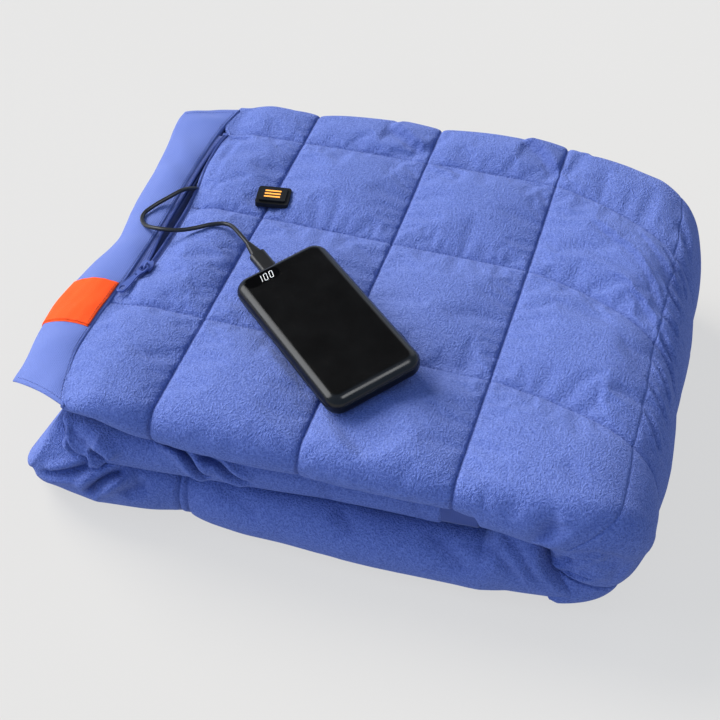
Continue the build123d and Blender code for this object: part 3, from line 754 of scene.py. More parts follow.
MIDDLE_STROKES = [
    ("fold", 0.0022, 0.0026, 0.10, [(-0.172, 0.0181), (-0.172, 0.0049), (-0.164, -0.0049), (-0.148, -0.0065)]),
    ("fold", 0.0090, 0.0060, 0.25, [(-0.152, 0.0016), (-0.144, -0.0016), (-0.138, -0.0065)]),
    ("fold", 0.0055, 0.0034, 0.15, [(-0.108, 0.0193), (-0.092, 0.0143), (-0.078, 0.0), (-0.07, -0.0048)]),
    ("fold", 0.0045, 0.0034, 0.20, [(-0.082, 0.0127), (-0.068, 0.0095), (-0.058, 0.0016), (-0.044, -0.0047)]),
    ("crease", 0.0012, 0.0030, 0.00, [(0.002, 0.0063), (0.004, -0.0063)]),
    ("crease", 0.0012, 0.0030, 0.00, [(0.058, 0.0078), (0.062, -0.0062)]),
    ("crease", 0.0026, 0.0070, 0.30, [(-0.172, 0.0165), (-0.162, 0.0082), (-0.148, 0.0033)]),
]
# ------------------------------------------------------------------ cloth simulation


def puff_sim(P, pin, pressure, shrink, frames=18, cap=0.008, bending=0.6):
    """Inflates a tube grid held at its seams; returns how far each point moved."""
    ni, nj = P.shape[:2]
    i, j = np.meshgrid(np.arange(ni - 1), np.arange(nj), indexing="ij")
    j2 = (j + 1) % nj
    f = np.stack([i * nj + j, i * nj + j2, (i + 1) * nj + j2, (i + 1) * nj + j], -1).reshape(-1, 4)
    me = bpy.data.meshes.new("sim")
    me.from_pydata([tuple(v) for v in P.reshape(-1, 3)], [], [tuple(int(v) for v in q) for q in f])
    me.update()
    ob = link(bpy.data.objects.new("sim", me))
    # pressure works along the faces' normals, which have to point outwards
    mid = (ni // 4) * nj + 3
    if me.polygons[mid].normal.z < 0:
        me.flip_normals()
    g = ob.vertex_groups.new(name="pin")
    pf = pin.reshape(-1)
    for wv in np.unique(np.round(pf, 2)):
        if wv > 0:
            g.add([int(k) for k in np.where(np.abs(pf - wv) < 0.006)[0]], float(wv), "REPLACE")
    md = ob.modifiers.new("cloth", "CLOTH")
    st = md.settings
    st.quality = 5
    st.mass = 0.12
    st.air_damping = 2.0
    st.tension_stiffness = 22
    st.compression_stiffness = 22
    st.shear_stiffness = 8
    st.bending_stiffness = bending
    st.use_pressure = True
    st.uniform_pressure_force = pressure
    st.shrink_min = shrink
    st.shrink_max = shrink
    st.vertex_group_mass = "pin"
    st.pin_stiffness = 1.0
    st.effector_weights.gravity = 0.0
    md.collision_settings.use_collision = False
    md.collision_settings.use_self_collision = False
    md.point_cache.frame_start = 1
    md.point_cache.frame_end = frames
    for fr in range(1, frames + 1):
        sc.frame_set(fr)
    dg = bpy.context.evaluated_depsgraph_get()
    ev = ob.evaluated_get(dg)
    em = ev.to_mesh()
    co = np.empty(len(em.vertices) * 3)
    em.vertices.foreach_get("co", co)
    ev.to_mesh_clear()
    sc.frame_set(1)
    bpy.data.objects.remove(ob)
    bpy.data.meshes.remove(me)
    D = co.reshape(P.shape) - P
    l = np.linalg.norm(D, axis=2, keepdims=True)
    if not np.isfinite(l).all():
        return np.zeros_like(P)
    return D * np.minimum(1.0, cap / np.maximum(l, 1e-9))


def outward(P, probe):
    N = grid_normals(P)
    return -N if N[probe][2] < 0 else N


# ------------------------------------------------------------------ top fold and round fold
STEP = 0.0038
P, S, V, O, PIN = wrap_tube(STEP, 0.010)
N = outward(P, (P.shape[0] // 4, 10))
P = P + N * (0.0048 * puff(S, V) * O)[..., None]
hump = np.zeros(S.shape)
for kind, amp, width, fade, pts in TOP_STROKES:
    hump += stroke(S, V, pts, amp, width, kind, fade)
P = P + N * (hump * O * (1 - 0.75 * PIN))[..., None]
edge = np.zeros(S.shape)
edge[0], edge[-1] = 1, 1
D = puff_sim(P, np.maximum(PIN, edge), 3.0, -0.012, frames=16, cap=0.0045, bending=2.0)
P = P + D * (O * row_gain(S, V) * (1 - 0.70 * sstep((-0.128 - V) / 0.030)))[..., None]

# the power bank presses the nap down, also where it slides when unplugged
BC, BU, BN = np.array([-0.025, -0.068, 0.115]), np.array([0.7314, -0.6820, 0.0]), np.array([-0.1184, -0.1270, 0.9848])
BV = np.cross(BN, BU)
rel = P - BC
bu, bv = rel @ BU, rel @ BV
face = BC[2] - (BN[0] * rel[..., 0] + BN[1] * rel[..., 1] + 0.0084) / BN[2]
foot = sstep((0.0930 - np.abs(bu - 0.015)) / 0.014) * sstep((0.0400 - np.abs(bv)) / 0.011) * (O > 0.9)
P[..., 2] -= np.maximum(P[..., 2] - face, 0) * foot

c0 = cap_rings(P[0], -1, 0.0030, 4)
c1 = cap_rings(P[-1], -1, 0.0040, 4)
ext = lambda A: np.concatenate([np.repeat(A[:1], 4, 0), A, np.repeat(A[-1:], 4, 0)], 0)
P = np.concatenate([np.array(c0[::-1]), P, np.array(c1)], 0)
S, V, O = ext(S), ext(V), ext(O)
fade = np.ones(S.shape)
fade[:4] = 0
fade[-4:] = 0
UP = 3
seam_i = [int(np.argmin(np.abs(S[:, 0] - u))) for u in U_LINES]
top_cols = np.where(O[S.shape[0] // 2] > 0.999)[0]
seam_j = [int(top_cols[np.argmin(np.abs(V[S.shape[0] // 2, top_cols] - v))]) for v in V_LINES[:3]]
ii = fine_index(S.shape[0], UP, False, seam_i)
jj = fine_index(S.shape[1], UP, True, seam_j)
P = resample(resample(P, 1, jj, True), 0, ii, False)
S, V, O, fade = [resample(resample(A, 1, jj, True, False), 0, ii, False, False) for A in (S, V, O, fade)]
N = outward(P, (P.shape[0] // 4, 10))
du = seam_distance(S, U_PIN)
df = seam_distance(S, [0.1755])
dv = seam_distance(V, V_LINES[:3])
h = -0.0011 * (np.exp(-(du / 0.0008) ** 2) + 0.45 * np.exp(-(dv / 0.0008) ** 2) + 0.45 * np.exp(-(df / 0.0008) ** 2)) * O
h -= 0.0008 * (np.exp(-du / 0.0030) + np.exp(-dv / 0.0040) + 0.4 * np.exp(-df / 0.0030)) * O
h += 0.00012 * noise2(S, V, 0.012, 3) * O
P = P + N * (h * fade)[..., None]
P[..., 2] = np.maximum(P[..., 2], 0.0003)
P[..., 0] = np.minimum(P[..., 0], 0.2040)
quilt = grid_object("quilt_top_and_round_fold", P, FLEECE)
# painted shade: darker colour along the seam lines, the vertical ones most, and in the creases of the strokes, stored
# for the fleece material
painted_shade_layer = quilt.data.attributes.new("painted_shade", "FLOAT", "POINT")
dark = np.maximum(np.maximum(0.68 * np.exp(-(du / 0.0007) ** 2), 0.36 * np.exp(-(dv / 0.0007) ** 2)), 0.45 * np.exp(-(df / 0.0007) ** 2)) * O
for kind, amp, width, fd, pts in TOP_STROKES:
    if kind != "ridge":
        dark = np.maximum(dark, -stroke(S, V, pts, min(1.0, amp / 0.006) * 0.75, 0.45 * width, "crease", fd) * O)
painted_shade_layer.data.foreach_set("value", dark.reshape(-1))
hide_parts("upper_fleece", "wrap_fleece", "upper_batting_over", "upper_batting_under", "upper_batting_middle", "wrap_batting")

# ------------------------------------------------------------------ bottom fold


def finish_roll(name, P, S, W, strokes, seams, noise_amp, seed, up=3, rb=0.010):
    n = 5
    zc = 0.5 * (P[0][:, 2].max() + P[0][:, 2].min())
    ends = []
    for row, sg in ((P[0], -1), (P[-1], 1)):
        out = []
        z0_, z1_ = row[:, 2].min(), row[:, 2].max()
        for k in range(1, n + 1):
            t = k / n * PI / 2
            q = row.copy()
            zc = (z0_ + z1_) / 2
            sh = 1 - (1 - math.cos(t)) * rb / ((z1_ - z0_) / 2)
            q[:, 2] = zc + (q[:, 2] - zc) * sh
            ym, hl = (row[:, 1].max() + row[:, 1].min()) / 2, (row[:, 1].max() - row[:, 1].min()) / 2
            q[:, 1] = ym + (q[:, 1] - ym) * (1 - (1 - math.cos(t)) * rb * 1.6 / hl)
            q[:, 0] += sg * rb * math.sin(t)
            out.append(q)
        ends.append(out)
    P = np.concatenate([np.array(ends[0][::-1]), P, np.array(ends[1])], 0)
    ext = lambda A: np.concatenate([np.repeat(A[:1], n, 0), A, np.repeat(A[-1:], n, 0)], 0)
    S, W = ext(S), ext(W)
    P = upsample(upsample(P, 1, up, True), 0, up, False)
    S, W = [up_scalar(up_scalar(A, 1, up, True), 0, up, False) for A in (S, W)]
    N = outward(P, (P.shape[0] // 2, 5))
    front = np.exp(-(np.maximum(np.abs(W) - 0.040, 0) / 0.02) ** 2)
    h = noise_amp * noise2(P[..., 0], W, 0.045, seed, 3)
    # painted shade: darker colour in the creases of the strokes and along the seams, stored for the fleece material
    dark = np.zeros(S.shape)
    for kind, amp, width, fade, pts in strokes:
        h = h + stroke(S, W, pts, amp, width, kind, fade) * front
        if kind != "ridge":
            dark = np.maximum(dark, -stroke(S, W, pts, min(1.0, amp / 0.005) * 1.25, 0.45 * width, "crease", fade) * front)
    for sx, slant in seams:
        d = np.abs(S - sx - slant * W)
        h = h - (0.0020 * np.exp(-(d / 0.0011) ** 2) + 0.0020 * np.exp(-d / 0.006)) * front
        dark = np.maximum(dark, 0.7 * np.exp(-(d / 0.0009) ** 2) * front)
    keep = sstep((P[..., 2] - 0.0002) / 0.005)
    P = P + N * (h * keep)[..., None]
    P[..., 2] = np.maximum(P[..., 2], 0.0003)
    ob = grid_object(name, P, FLEECE)
    painted_shade_layer = ob.data.attributes.new("painted_shade", "FLOAT", "POINT")
    painted_shade_layer.data.foreach_set("value", dark.reshape(-1))
    return ob


P, S, W, K_ = bottom_tube(0.004)
P = plan_round(P, -0.2000, -1, -0.170, 0.181, 0.014)
bottom = finish_roll("quilt_bottom_fold", P, S, W, BOTTOM_STROKES, [(-0.0960, 0.0), (-0.0900, -0.03)], 0.0011, 21, rb=0.007)
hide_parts("lower_fleece", "lower_batting_under", "lower_batting_over")
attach(bottom, "lower_fold")

# ------------------------------------------------------------------ middle fold
P, S, W, K_ = middle_tube(0.004)
middle = finish_roll("quilt_middle_fold", P, S, W, MIDDLE_STROKES, [], 0.0009, 31, rb=0.004)
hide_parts("middle_fleece", "middle_batting")
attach(middle, "lower_fold")

# lining edge showing at the right end of the middle fold
P, S, W, K_ = roll_tube(0.068, 0.096, 0.004, [(0.06, -0.1500), (0.11, -0.1470)], [(0.0, 0.170)], [(0.0, 0.0430)], [(0.0, 0.0718)])
lining = finish_roll("quilt_lining_edge", P, S, W, [("crease", 0.0010, 0.0050, 0.30, [(0.075, 0.006), (0.090, -0.002), (0.100, 0.002)])], [], 0.0006, 37, rb=0.003)
lining.data.materials[0] = LINING
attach(lining, "lower_fold")

# ------------------------------------------------------------------ binding band
SEAM_X = [(-0.1662, -0.1630), (-0.156, -0.1672), (-0.138, -0.1720), (-0.122, -0.1752), (-0.097, -0.1759), (-0.077, -0.1756), (-0.057, -0.1744),
          (-0.027, -0.1738), (0.0, -0.1736), (0.027, -0.1742), (0.057, -0.1750), (0.083, -0.1757), (0.109, -0.1757), (0.130, -0.1752), (0.151, -0.1731), (0.168, -0.1700)]
OUT_X = [(-0.1425, -0.2112), (-0.132, -0.2103), (-0.123, -0.2106), (-0.105, -0.2124), (-0.088, -0.2131), (-0.066, -0.2133), (-0.047, -0.2108), (-0.024, -0.2064),
         (-0.008, -0.2022), (0.0043, -0.2000), (0.0227, -0.2016), (0.0475, -0.2043), (0.0725, -0.2053), (0.100, -0.2068), (0.126, -0.2094), (0.149, -0.2119), (0.160, -0.2120)]
OUT_Z = [(-0.1425, 0.0805), (-0.105, 0.0838), (-0.047, 0.0858), (0.004, 0.0880), (0.0725, 0.0888), (0.126, 0.0898), (0.160, 0.0915)]
SEAM_Z = [(-0.1662, 0.0945), (-0.140, 0.0958), (-0.060, 0.0962), (0.0, 0.0958), (0.130, 0.0958), (0.168, 0.0968)]


def band_point(t, a, off=0.0):
    """t 0 at the front to 1 at the back, a 0 at the seam to 1 at the outer edge."""
    t, a = np.broadcast_arrays(np.asarray(t, float), np.asarray(a, float))
    ys = -0.1662 + t * (0.1680 + 0.1662)
    yo = -0.1425 + t * (0.1600 + 0.1425)
    xs, xo = smooth_table(ys, SEAM_X), smooth_table(yo, OUT_X)
    zs, zo = smooth_table(ys, SEAM_Z), smooth_table(yo, OUT_Z)
    x = xs + (xo - xs) * a
    y = ys + (yo - ys) * a
    z = zs + (zo - zs) * a ** 1.7
    body = np.sin(PI * np.clip(a, 0, 1)) ** 0.8
    z = z + 0.0022 * body * sstep(t / 0.06) * sstep((1 - t) / 0.06)
    z = z + 0.0011 * noise2(x, y, 0.034, 41) * body
    # soft drag lines running across the band
    z = z + 0.0005 * np.sin(2 * PI * (y + 0.35 * x) / 0.031 + 4 * noise2(x, y, 0.05, 43)) * body
    # pulled in a little where the label holds it and at the hems
    z = z - 0.0008 * np.exp(-((t - 0.27) / 0.10) ** 2) * body
    return np.stack([x, y, z + off], -1)


def band_grid(nt_, na):
    t = np.linspace(0, 1, nt_)[:, None]
    a = np.linspace(0, 1, na)[None, :]
    top = band_point(t, a)
    th = 0.0066 * sstep(np.minimum(t, 1 - t) / 0.035 + 0.22)        # thickness, thin at the hems
    th = th * np.ones_like(a)
    e = top[:, -1:]
    d = top[:, -1:] - top[:, -3:-2]
    d = d / np.linalg.norm(d, axis=2, keepdims=True)
    turn = []
    for k in range(1, 8):
        w_ = k / 8 * PI
        r = (th[:, -1:, None]) / 2
        turn.append(e + d * (r * 1.1 * math.sin(w_)) + np.array([0, 0, -1.0]) * (r * (1 - math.cos(w_))))
    bot = top[:, ::-1].copy()
    bot[..., 2] -= th[:, ::-1]
    return np.concatenate([top] + turn + [bot], 1)


G = band_grid(170, 40)
band = grid_object("binding_band_cloth", G, BINDING)
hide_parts("binding_band", "band_core", "band_seam")
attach(band, "upper_fold")


def tube_mesh(name, path, radius, material, sides=8, closed_ends=True, flat=1.0):
    """A round thread or wire that follows a list of points."""
    p = np.array(path, float)
    t = np.gradient(p, axis=0)
    t /= np.maximum(np.linalg.norm(t, axis=1, keepdims=True), 1e-12)
    up = np.array([0.0, 0.0, 1.0])
    a = np.cross(t, up)
    bad = np.linalg.norm(a, axis=1) < 0.05
    a[bad] = np.cross(t[bad], np.array([1.0, 0, 0]))
    a /= np.linalg.norm(a, axis=1, keepdims=True)
    b = np.cross(a, t)
    ang = np.linspace(0, 2 * PI, sides + 1)[:-1]
    ring = a[:, None, :] * np.cos(ang)[None, :, None] + b[:, None, :] * (np.sin(ang) * flat)[None, :, None]
    r = np.full(len(p), radius)
    return grid_object(name, p[:, None, :] + ring * r[:, None, None], material, caps=closed_ends)


def join_pieces(obs, name):
    verts, faces = [], []
    for o in obs:
        base = len(verts)
        verts += [tuple(v.co) for v in o.data.vertices]
        faces += [tuple(base + i for i in p.vertices) for p in o.data.polygons]
    mt = obs[0].data.materials[0]
    for o in obs:
        me = o.data
        bpy.data.objects.remove(o)
        bpy.data.meshes.remove(me)
    return mesh_object(name, verts, faces, mt)


def stitches(name, fn, count, length, radius, material, lift=0.0):
    """A run of separate stitches; fn(u) gives a point for u from 0 to 1."""
    obs = []
    for k in range(count):
        u0 = (k + 0.5 - 0.5 * length) / count
        u1 = (k + 0.5 + 0.5 * length) / count
        pts = []
        for q in np.linspace(0, 1, 5):
            c_ = np.array(fn(u0 + (u1 - u0) * q), float)
            c_[2] += lift - radius * 1.1 * (2 * q - 1) ** 2
            pts.append(c_)
        obs.append(tube_mesh("st", pts, radius, material, sides=6))
    return join_pieces(obs, name)


# topstitch that holds the band along the seam, and the two hems
obs = stitches("band_topstitch", lambda u: band_point(0.012 + 0.976 * u, 0.055)[()], 118, 0.72, 0.00026, THREAD, 0.0001)
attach(obs, "upper_fold")
obs = stitches("band_hem_front", lambda u: band_point(0.011, 0.06 + 0.90 * u)[()], 18, 0.70, 0.00024, THREAD, 0.0001)
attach(obs, "upper_fold")
obs = stitches("band_hem_back", lambda u: band_point(0.989, 0.06 + 0.90 * u)[()], 15, 0.70, 0.00024, THREAD, 0.0001)
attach(obs, "upper_fold")

# ------------------------------------------------------------------ label, folded over the band's outer edge


def label_t(v_, a):
    t0 = 0.211 - 0.033 * a
    t1 = 0.345 - 0.028 * a
    return t0 + (t1 - t0) * v_


def label_strip(v0, v1, a_in, off, nrow, a_back=0.45):
    rows = []
    for v_ in np.linspace(v0, v1, nrow):
        pts = []
        for a in np.linspace(a_in, 1.0, 26):
            p_ = band_point(label_t(v_, a), a, off)[()]
            p_[2] += 0.00012 * math.sin(26 * a + 5 * v_)
            pts.append(p_)
        e, r = pts[-1], 0.0033 + off
        d = pts[-1] - pts[-3]
        d = d / np.linalg.norm(d)
        for k in range(1, 9):
            w_ = k / 8 * PI
            pts.append(e + d * (r * 1.15 * math.sin(w_)) + np.array([0, 0, -1.0]) * (r * (1 - math.cos(w_))))
        for a in np.linspace(0.93, a_back, 8):
            pts.append(band_point(label_t(v_, a), a)[()] + np.array([0, 0, -0.0066 - off]))
        rows.append(pts)
    return np.array(rows)


def ribbon(name, rows, thickness, material):
    """A thin closed strip of cloth from one sheet of points."""
    N_ = grid_normals(rows, periodic=False)
    if N_[rows.shape[0] // 2, 3, 2] < 0:
        N_ = -N_
    loop = np.concatenate([rows, (rows - N_ * thickness)[:, ::-1]], 1)
    return grid_object(name, loop, material)


label = ribbon("side_label_ribbon", label_strip(0.0, 1.0, 0.045, 0.0009, 30), 0.0005, LABEL)
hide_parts("side_label")
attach(label, "upper_fold")
# its turned-in under layer shows as a narrow step at the front corner
under = ribbon("side_label_under_layer", label_strip(-0.035, 0.30, 0.05, 0.00035, 14), 0.0004, LABEL)
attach(under, "upper_fold")
obs = stitches("label_stitch", lambda u: band_point(label_t(0.04 + 0.92 * u, 0.095), 0.095, 0.0009)[()], 17, 0.66, 0.00022, ORANGE_THREAD, 0.0001)
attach(obs, "upper_fold")

# ------------------------------------------------------------------ zip
COIL_L = [(-0.050, -0.1660), (-0.034, -0.1659), (-0.022, -0.1666), (0.0, -0.1688), (0.020, -0.1702), (0.045, -0.1710), (0.070, -0.1716), (0.100, -0.1718), (0.125, -0.1708), (0.134, -0.1694)]
COIL_R = [(-0.050, -0.1645), (-0.034, -0.1644), (-0.022, -0.1641), (0.0, -0.1633), (0.020, -0.1629), (0.045, -0.1634), (0.070, -0.1655), (0.100, -0.1690), (0.125, -0.1690), (0.134, -0.1678)]
ZIP_Z = 0.0962


def coil(name, table):
    n = int(0.182 / 0.00105)
    u = np.linspace(0, 1, n * 12 + 1)
    y = -0.049 + 0.182 * u
    x = smooth_table(y, table)
    ph = 2 * PI * n * u
    path = np.stack([x + 0.00072 * np.cos(ph), y, ZIP_Z + 0.00062 * np.sin(ph)], -1)
    return tube_mesh(name, path, 0.00027, ZIP_PLASTIC, sides=5)


for side, table, other, cad in (("left", COIL_L, SEAM_X, "zip_coil_left"), ("right", COIL_R, LIP, "zip_coil_right")):
    c_ = coil("zip_coil_%s_teeth" % side, table)
    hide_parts(cad)
    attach(c_, "upper_fold")
    sg = -1 if side == "left" else 1
    rows = []
    for y in np.linspace(-0.049, 0.133, 120):
        xc = float(smooth_table(y, table)) + sg * 0.0004
        xe = float(smooth_table(y, other)) + (sg * 0.0015 if side == "left" else 0.0035)
        pts = []
        for a in np.linspace(0, 1, 22):
            z = ZIP_Z - 0.00075 - 0.0009 * math.sin(PI * a) * 0.6 + 0.00016 * math.sin(2 * PI * a * 5.0)
            pts.append((xc + (xe - xc) * a, y, z))
        rows.append(pts)
    t_ = ribbon("zip_tape_%s_cloth" % side, np.array(rows), 0.0005, TAPE)
    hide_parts("zip_tape_" + side)
    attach(t_, "upper_fold")
    # sewing line along the coil
    obs = stitches("zip_tape_%s_stitch" % side, lambda u, tb=table, s_=sg: (float(smooth_table(-0.047 + 0.178 * u, tb)) + s_ * 0.0019, -0.047 + 0.178 * u, ZIP_Z - 0.0009), 80, 0.62, 0.00016, THREAD, 0.0001)
    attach(obs, "upper_fold")


# left wall of the pocket, hanging from the zip tape down into the folded pack
rows = []
for y in np.linspace(-0.052, 0.151, 64):
    f_ = 0.0006 * math.sin(210 * y) + 0.0005 * math.sin(97 * y + 1)
    prof = [(-0.1752, 0.0952), (-0.1744, 0.0930), (-0.1728, 0.0900), (-0.1700, 0.0872), (-0.1676, 0.0846), (-0.1662, 0.0810), (-0.1660, 0.0775)]
    rows.append([(x_ + f_ * k_ / 3, y, z_) for k_, (x_, z_) in enumerate(prof)])
fc = ribbon("pocket_facing_left", np.array(rows), 0.0006, LINING)
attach(fc, "upper_fold")


def flat_plate(name, outlines, half, bevel, material, matrix, res=6):
    """A bevelled plate with holes, from closed outlines in its own plane."""
    c_ = bpy.data.curves.new(name + "_outline", "CURVE")
    c_.dimensions = "2D"
    c_.fill_mode = "BOTH"
    for pts in outlines:
        sp_ = c_.splines.new("POLY")
        sp_.points.add(len(pts) - 1)
        for q, p_ in zip(sp_.points, pts):
            q.co = (p_[0], p_[1], 0, 1)
        sp_.use_cyclic_u = True
    c_.extrude = half - bevel
    c_.bevel_depth = bevel
    c_.offset = -bevel
    c_.bevel_resolution = 3
    tmp = link(bpy.data.objects.new(name + "_tmp", c_))
    me = bpy.data.meshes.new_from_object(tmp)
    bpy.data.objects.remove(tmp)
    bpy.data.curves.remove(c_)
    me.name = name
    me.transform(matrix)
    me.materials.clear()
    me.materials.append(material)
    bm = bmesh.new()
    bm.from_mesh(me)
    bmesh.ops.remove_doubles(bm, verts=bm.verts, dist=0.00001)
    bm.to_mesh(me)
    bm.free()
    me.polygons.foreach_set("use_smooth", [True] * len(me.polygons))
    ob = link(bpy.data.objects.new(name, me))
    try:
        me.set_sharp_from_angle(angle=math.radians(50))
    except AttributeError:
        pass
    return ob


# top stops, small moulded clips at the ends of the coils
stops = []
for table in (COIL_L, COIL_R):
    x = float(smooth_table(0.133, table))
    oval = [(0.0013 * math.cos(a), 0.0017 * math.sin(a)) for a in np.linspace(0, 2 * PI, 25)[:-1]]
    stops.append(flat_plate("stop", [oval], 0.0011, 0.0005, ZIP_PLASTIC, Matrix.Translation((x, 0.1335, ZIP_Z))))
stops = join_pieces(stops, "zip_top_stops")
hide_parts("zip_end_stops")
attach(stops, "upper_fold")


def wire_loop(name, pts, radius, material, matrix=None, cyclic=True):
    """A round wire that follows points, closed into a loop."""
    c_ = bpy.data.curves.new(name + "_path", "CURVE")
    c_.dimensions = "3D"
    sp_ = c_.splines.new("POLY")
    sp_.points.add(len(pts) - 1)
    for q, p_ in zip(sp_.points, pts):
        q.co = (p_[0], p_[1], p_[2], 1)
    sp_.use_cyclic_u = cyclic
    c_.bevel_depth = radius
    c_.bevel_resolution = 3
    c_.use_fill_caps = True
    tmp = link(bpy.data.objects.new(name + "_tmp", c_))
    me = bpy.data.meshes.new_from_object(tmp)
    bpy.data.objects.remove(tmp)
    bpy.data.curves.remove(c_)
    if matrix is not None:
        me.transform(matrix)
    me.materials.clear()
    me.materials.append(material)
    me.polygons.foreach_set("use_smooth", [True] * len(me.polygons))
    return link(bpy.data.objects.new(name, me))


# slider: two shield-shaped plates joined by a post, turned-down side flanges, and the arch that holds the pull
SL = (-0.165, -0.0285)
shield = []
for q in np.linspace(0, 2 * PI, 73)[:-1]:
    y_ = 0.0060 * math.sin(q)
    wd = 0.0042 if y_ > 0 else 0.0042 - 0.0011 * (-y_ / 0.0060) ** 1.4
    shield.append((wd * np.sign(math.cos(q)) * abs(math.cos(q)) ** 0.55, y_ - (0.0010 * math.exp(-((q - PI / 2) / 0.22) ** 2))))
parts = [flat_plate("plate", [shield], 0.0005, 0.00028, ENAMEL, Matrix.Translation((SL[0], SL[1], 0.0976))),
         flat_plate("plate", [shield], 0.0005, 0.00028, ENAMEL, Matrix.Translation((SL[0], SL[1], 0.0944)))]
post = [(0.0009 * math.cos(a), 0.0021 * math.sin(a)) for a in np.linspace(0, 2 * PI, 25)[:-1]]
parts.append(flat_plate("post", [post], 0.0013, 0.0001, ENAMEL, Matrix.Translation((SL[0], SL[1] + 0.0031, 0.0960))))
for sg in (-1, 1):
    pth = [(SL[0] + sg * (0.0039 - 0.0009 * max(0.0, -q) ** 1.4), SL[1] + 0.0046 * q, 0.09675) for q in np.linspace(-1, 0.9, 14)]
    parts.append(tube_mesh("fl", pth, 0.00042, ENAMEL, sides=8))
arch = []
for q in np.linspace(0, PI, 19):
    arch.append((SL[0], SL[1] - 0.0017 - 0.0029 * math.cos(q), 0.0979 + 0.00235 * math.sin(q) ** 0.6))
parts.append(tube_mesh("arch", arch, 0.00072, ENAMEL, sides=12))
slider = join_pieces(parts, "zip_slider_moulding")
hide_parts("zip_slider_body")
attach(slider, "zip_slider")

# pull: an eye round the arch, a waisted shank and a broad grip with an oval hole, with a raised rim
PM = Matrix.Translation((-0.165, -0.0311, 0.0990)) @ Matrix.Rotation(math.radians(-13.0), 4, "Z")


def pull_half(y):
    return lerp_table(y, [(-0.0307, 0.0), (-0.0304, 0.0012), (-0.0296, 0.0022), (-0.0284, 0.0029), (-0.0268, 0.00325), (-0.0235, 0.00325), (-0.0190, 0.0027),
                          (-0.0140, 0.0021), (-0.0100, 0.0019), (-0.0078, 0.0022), (-0.0060, 0.0030), (-0.0045, 0.0032), (-0.0015, 0.0032), (-0.0004, 0.0028), (0.0003, 0.0019), (0.0005, 0.0)])


ys = np.concatenate([np.linspace(-0.0307, -0.0280, 14), np.linspace(-0.0270, -0.0010, 40), np.linspace(-0.0006, 0.0005, 10)])
hw = np.array([pull_half(y) for y in ys])
for _ in range(2):
    hw[1:-1] = 0.25 * hw[:-2] + 0.5 * hw[1:-1] + 0.25 * hw[2:]
plan = [(hw[k], ys[k]) for k in range(len(ys))] + [(-hw[k], ys[k]) for k in range(len(ys) - 2, 0, -1)]
eye = [(0.0019 * np.sign(math.cos(a)) * abs(math.cos(a)) ** 0.6, -0.0031 + 0.0025 * np.sign(math.sin(a)) * abs(math.sin(a)) ** 0.6) for a in np.linspace(0, 2 * PI, 33)[:-1]]
grip = [(0.00155 * math.cos(a), -0.0262 + 0.0024 * math.sin(a)) for a in np.linspace(0, 2 * PI, 33)[:-1]]
dot = [(0.0008 * math.cos(a), -0.0103 + 0.0008 * math.sin(a)) for a in np.linspace(0, 2 * PI, 21)[:-1]]
parts = [flat_plate("pull", [plan, eye, grip, dot], 0.0005, 0.00026, ENAMEL, PM)]
inner = [(0.87 * x_, y_ * 0.975 - 0.0004, 0.00046) for x_, y_ in plan]
parts.append(wire_loop("rim", inner, 0.00026, ENAMEL, PM))
parts.append(wire_loop("rim2", [(1.25 * x_, (y_ + 0.0262) * 1.17 - 0.0262, 0.00046) for x_, y_ in grip], 0.00022, ENAMEL, PM))
pull = join_pieces(parts, "zip_pull_moulding")
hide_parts("zip_pull_tab")
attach(pull, "zip_pull")
# ------------------------------------------------------------------ lead
CORD = [(-164.6, 67.0, 94.2), (-169.0, 56.5, 102.4), (-177.0, 44.0, 101.2), (-185.5, 34.5, 98.3), (-191.0, 23.0, 96.6),
        (-183.5, 10.0, 98.6), (-169.5, 3.6, 104.2), (-156.0, 3.4, 105.8), (-145.0, 9.0, 106.3), (-135.0, 16.5, 107.0),
        (-122.5, 19.0, 109.0), (-108.26, 2.91, 114.13), (-99.85, -4.94, 114.13)]
cu = bpy.data.curves.new("usb_lead_curve", "CURVE")
cu.dimensions = "3D"
sp = cu.splines.new("NURBS")
sp.points.add(len(CORD) - 1)
for p_, c_ in zip(sp.points, CORD):
    p_.co = (c_[0] / 1000, c_[1] / 1000, c_[2] / 1000, 1)
sp.order_u = 3
sp.use_endpoint_u = True
sp.resolution_u = 16
cu.bevel_depth = 0.0015
cu.bevel_resolution = 6
cu.use_fill_caps = True
cu.materials.append(JACKET)
lead = link(bpy.data.objects.new("usb_lead_flex", cu))
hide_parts("usb_lead")
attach(lead, "upper_fold")

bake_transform(quilt)

# ------------------------------------------------------------------ materials on CAD nodes
ASSIGN = {
    "lower_heater_pad": CARBON, "upper_heater_pad": CARBON, "heater_lead": JACKET, "pocket_lining": LINING, "heater_connector": PLUG,
    "controller_base": SILICONE, "controller_board": BOARD, "controller_dome": STEEL,
    "controller_button": SILICONE, "level_lights": AMBER, "bank_top_cover": BANK, "bank_bottom_cover": BANK_LOW, "bank_display_window": WINDOW,
    "bank_display_module": DISPLAY, "bank_circuit_board": BOARD, "bank_usb_c_socket": STEEL, "bank_usb_a_socket": STEEL, "bank_cells": FOIL,
    "bank_cell_pads": FOAM, "bank_power_button": BANK, "bank_button_switch": STEEL, "usb_plug_shell": STEEL, "usb_plug_boot": PLUG,
    "usb_strain_relief": PLUG, "lead_collar": SILICONE,
}
for n, mt in ASSIGN.items():
    o = nodes[n]
    if not o.data.materials:
        o.data.materials.append(mt)
    for k in range(len(o.data.materials)):
        o.data.materials[k] = mt

# ------------------------------------------------------------------ display digits
BANK_POS = Vector((-0.025, -0.068, 0.115))
BX, BYD, BZ = Vector((0.7314, -0.6820, 0.0)), Vector((0.6716, 0.7202, 0.1736)), Vector((-0.1184, -0.1270, 0.9848))


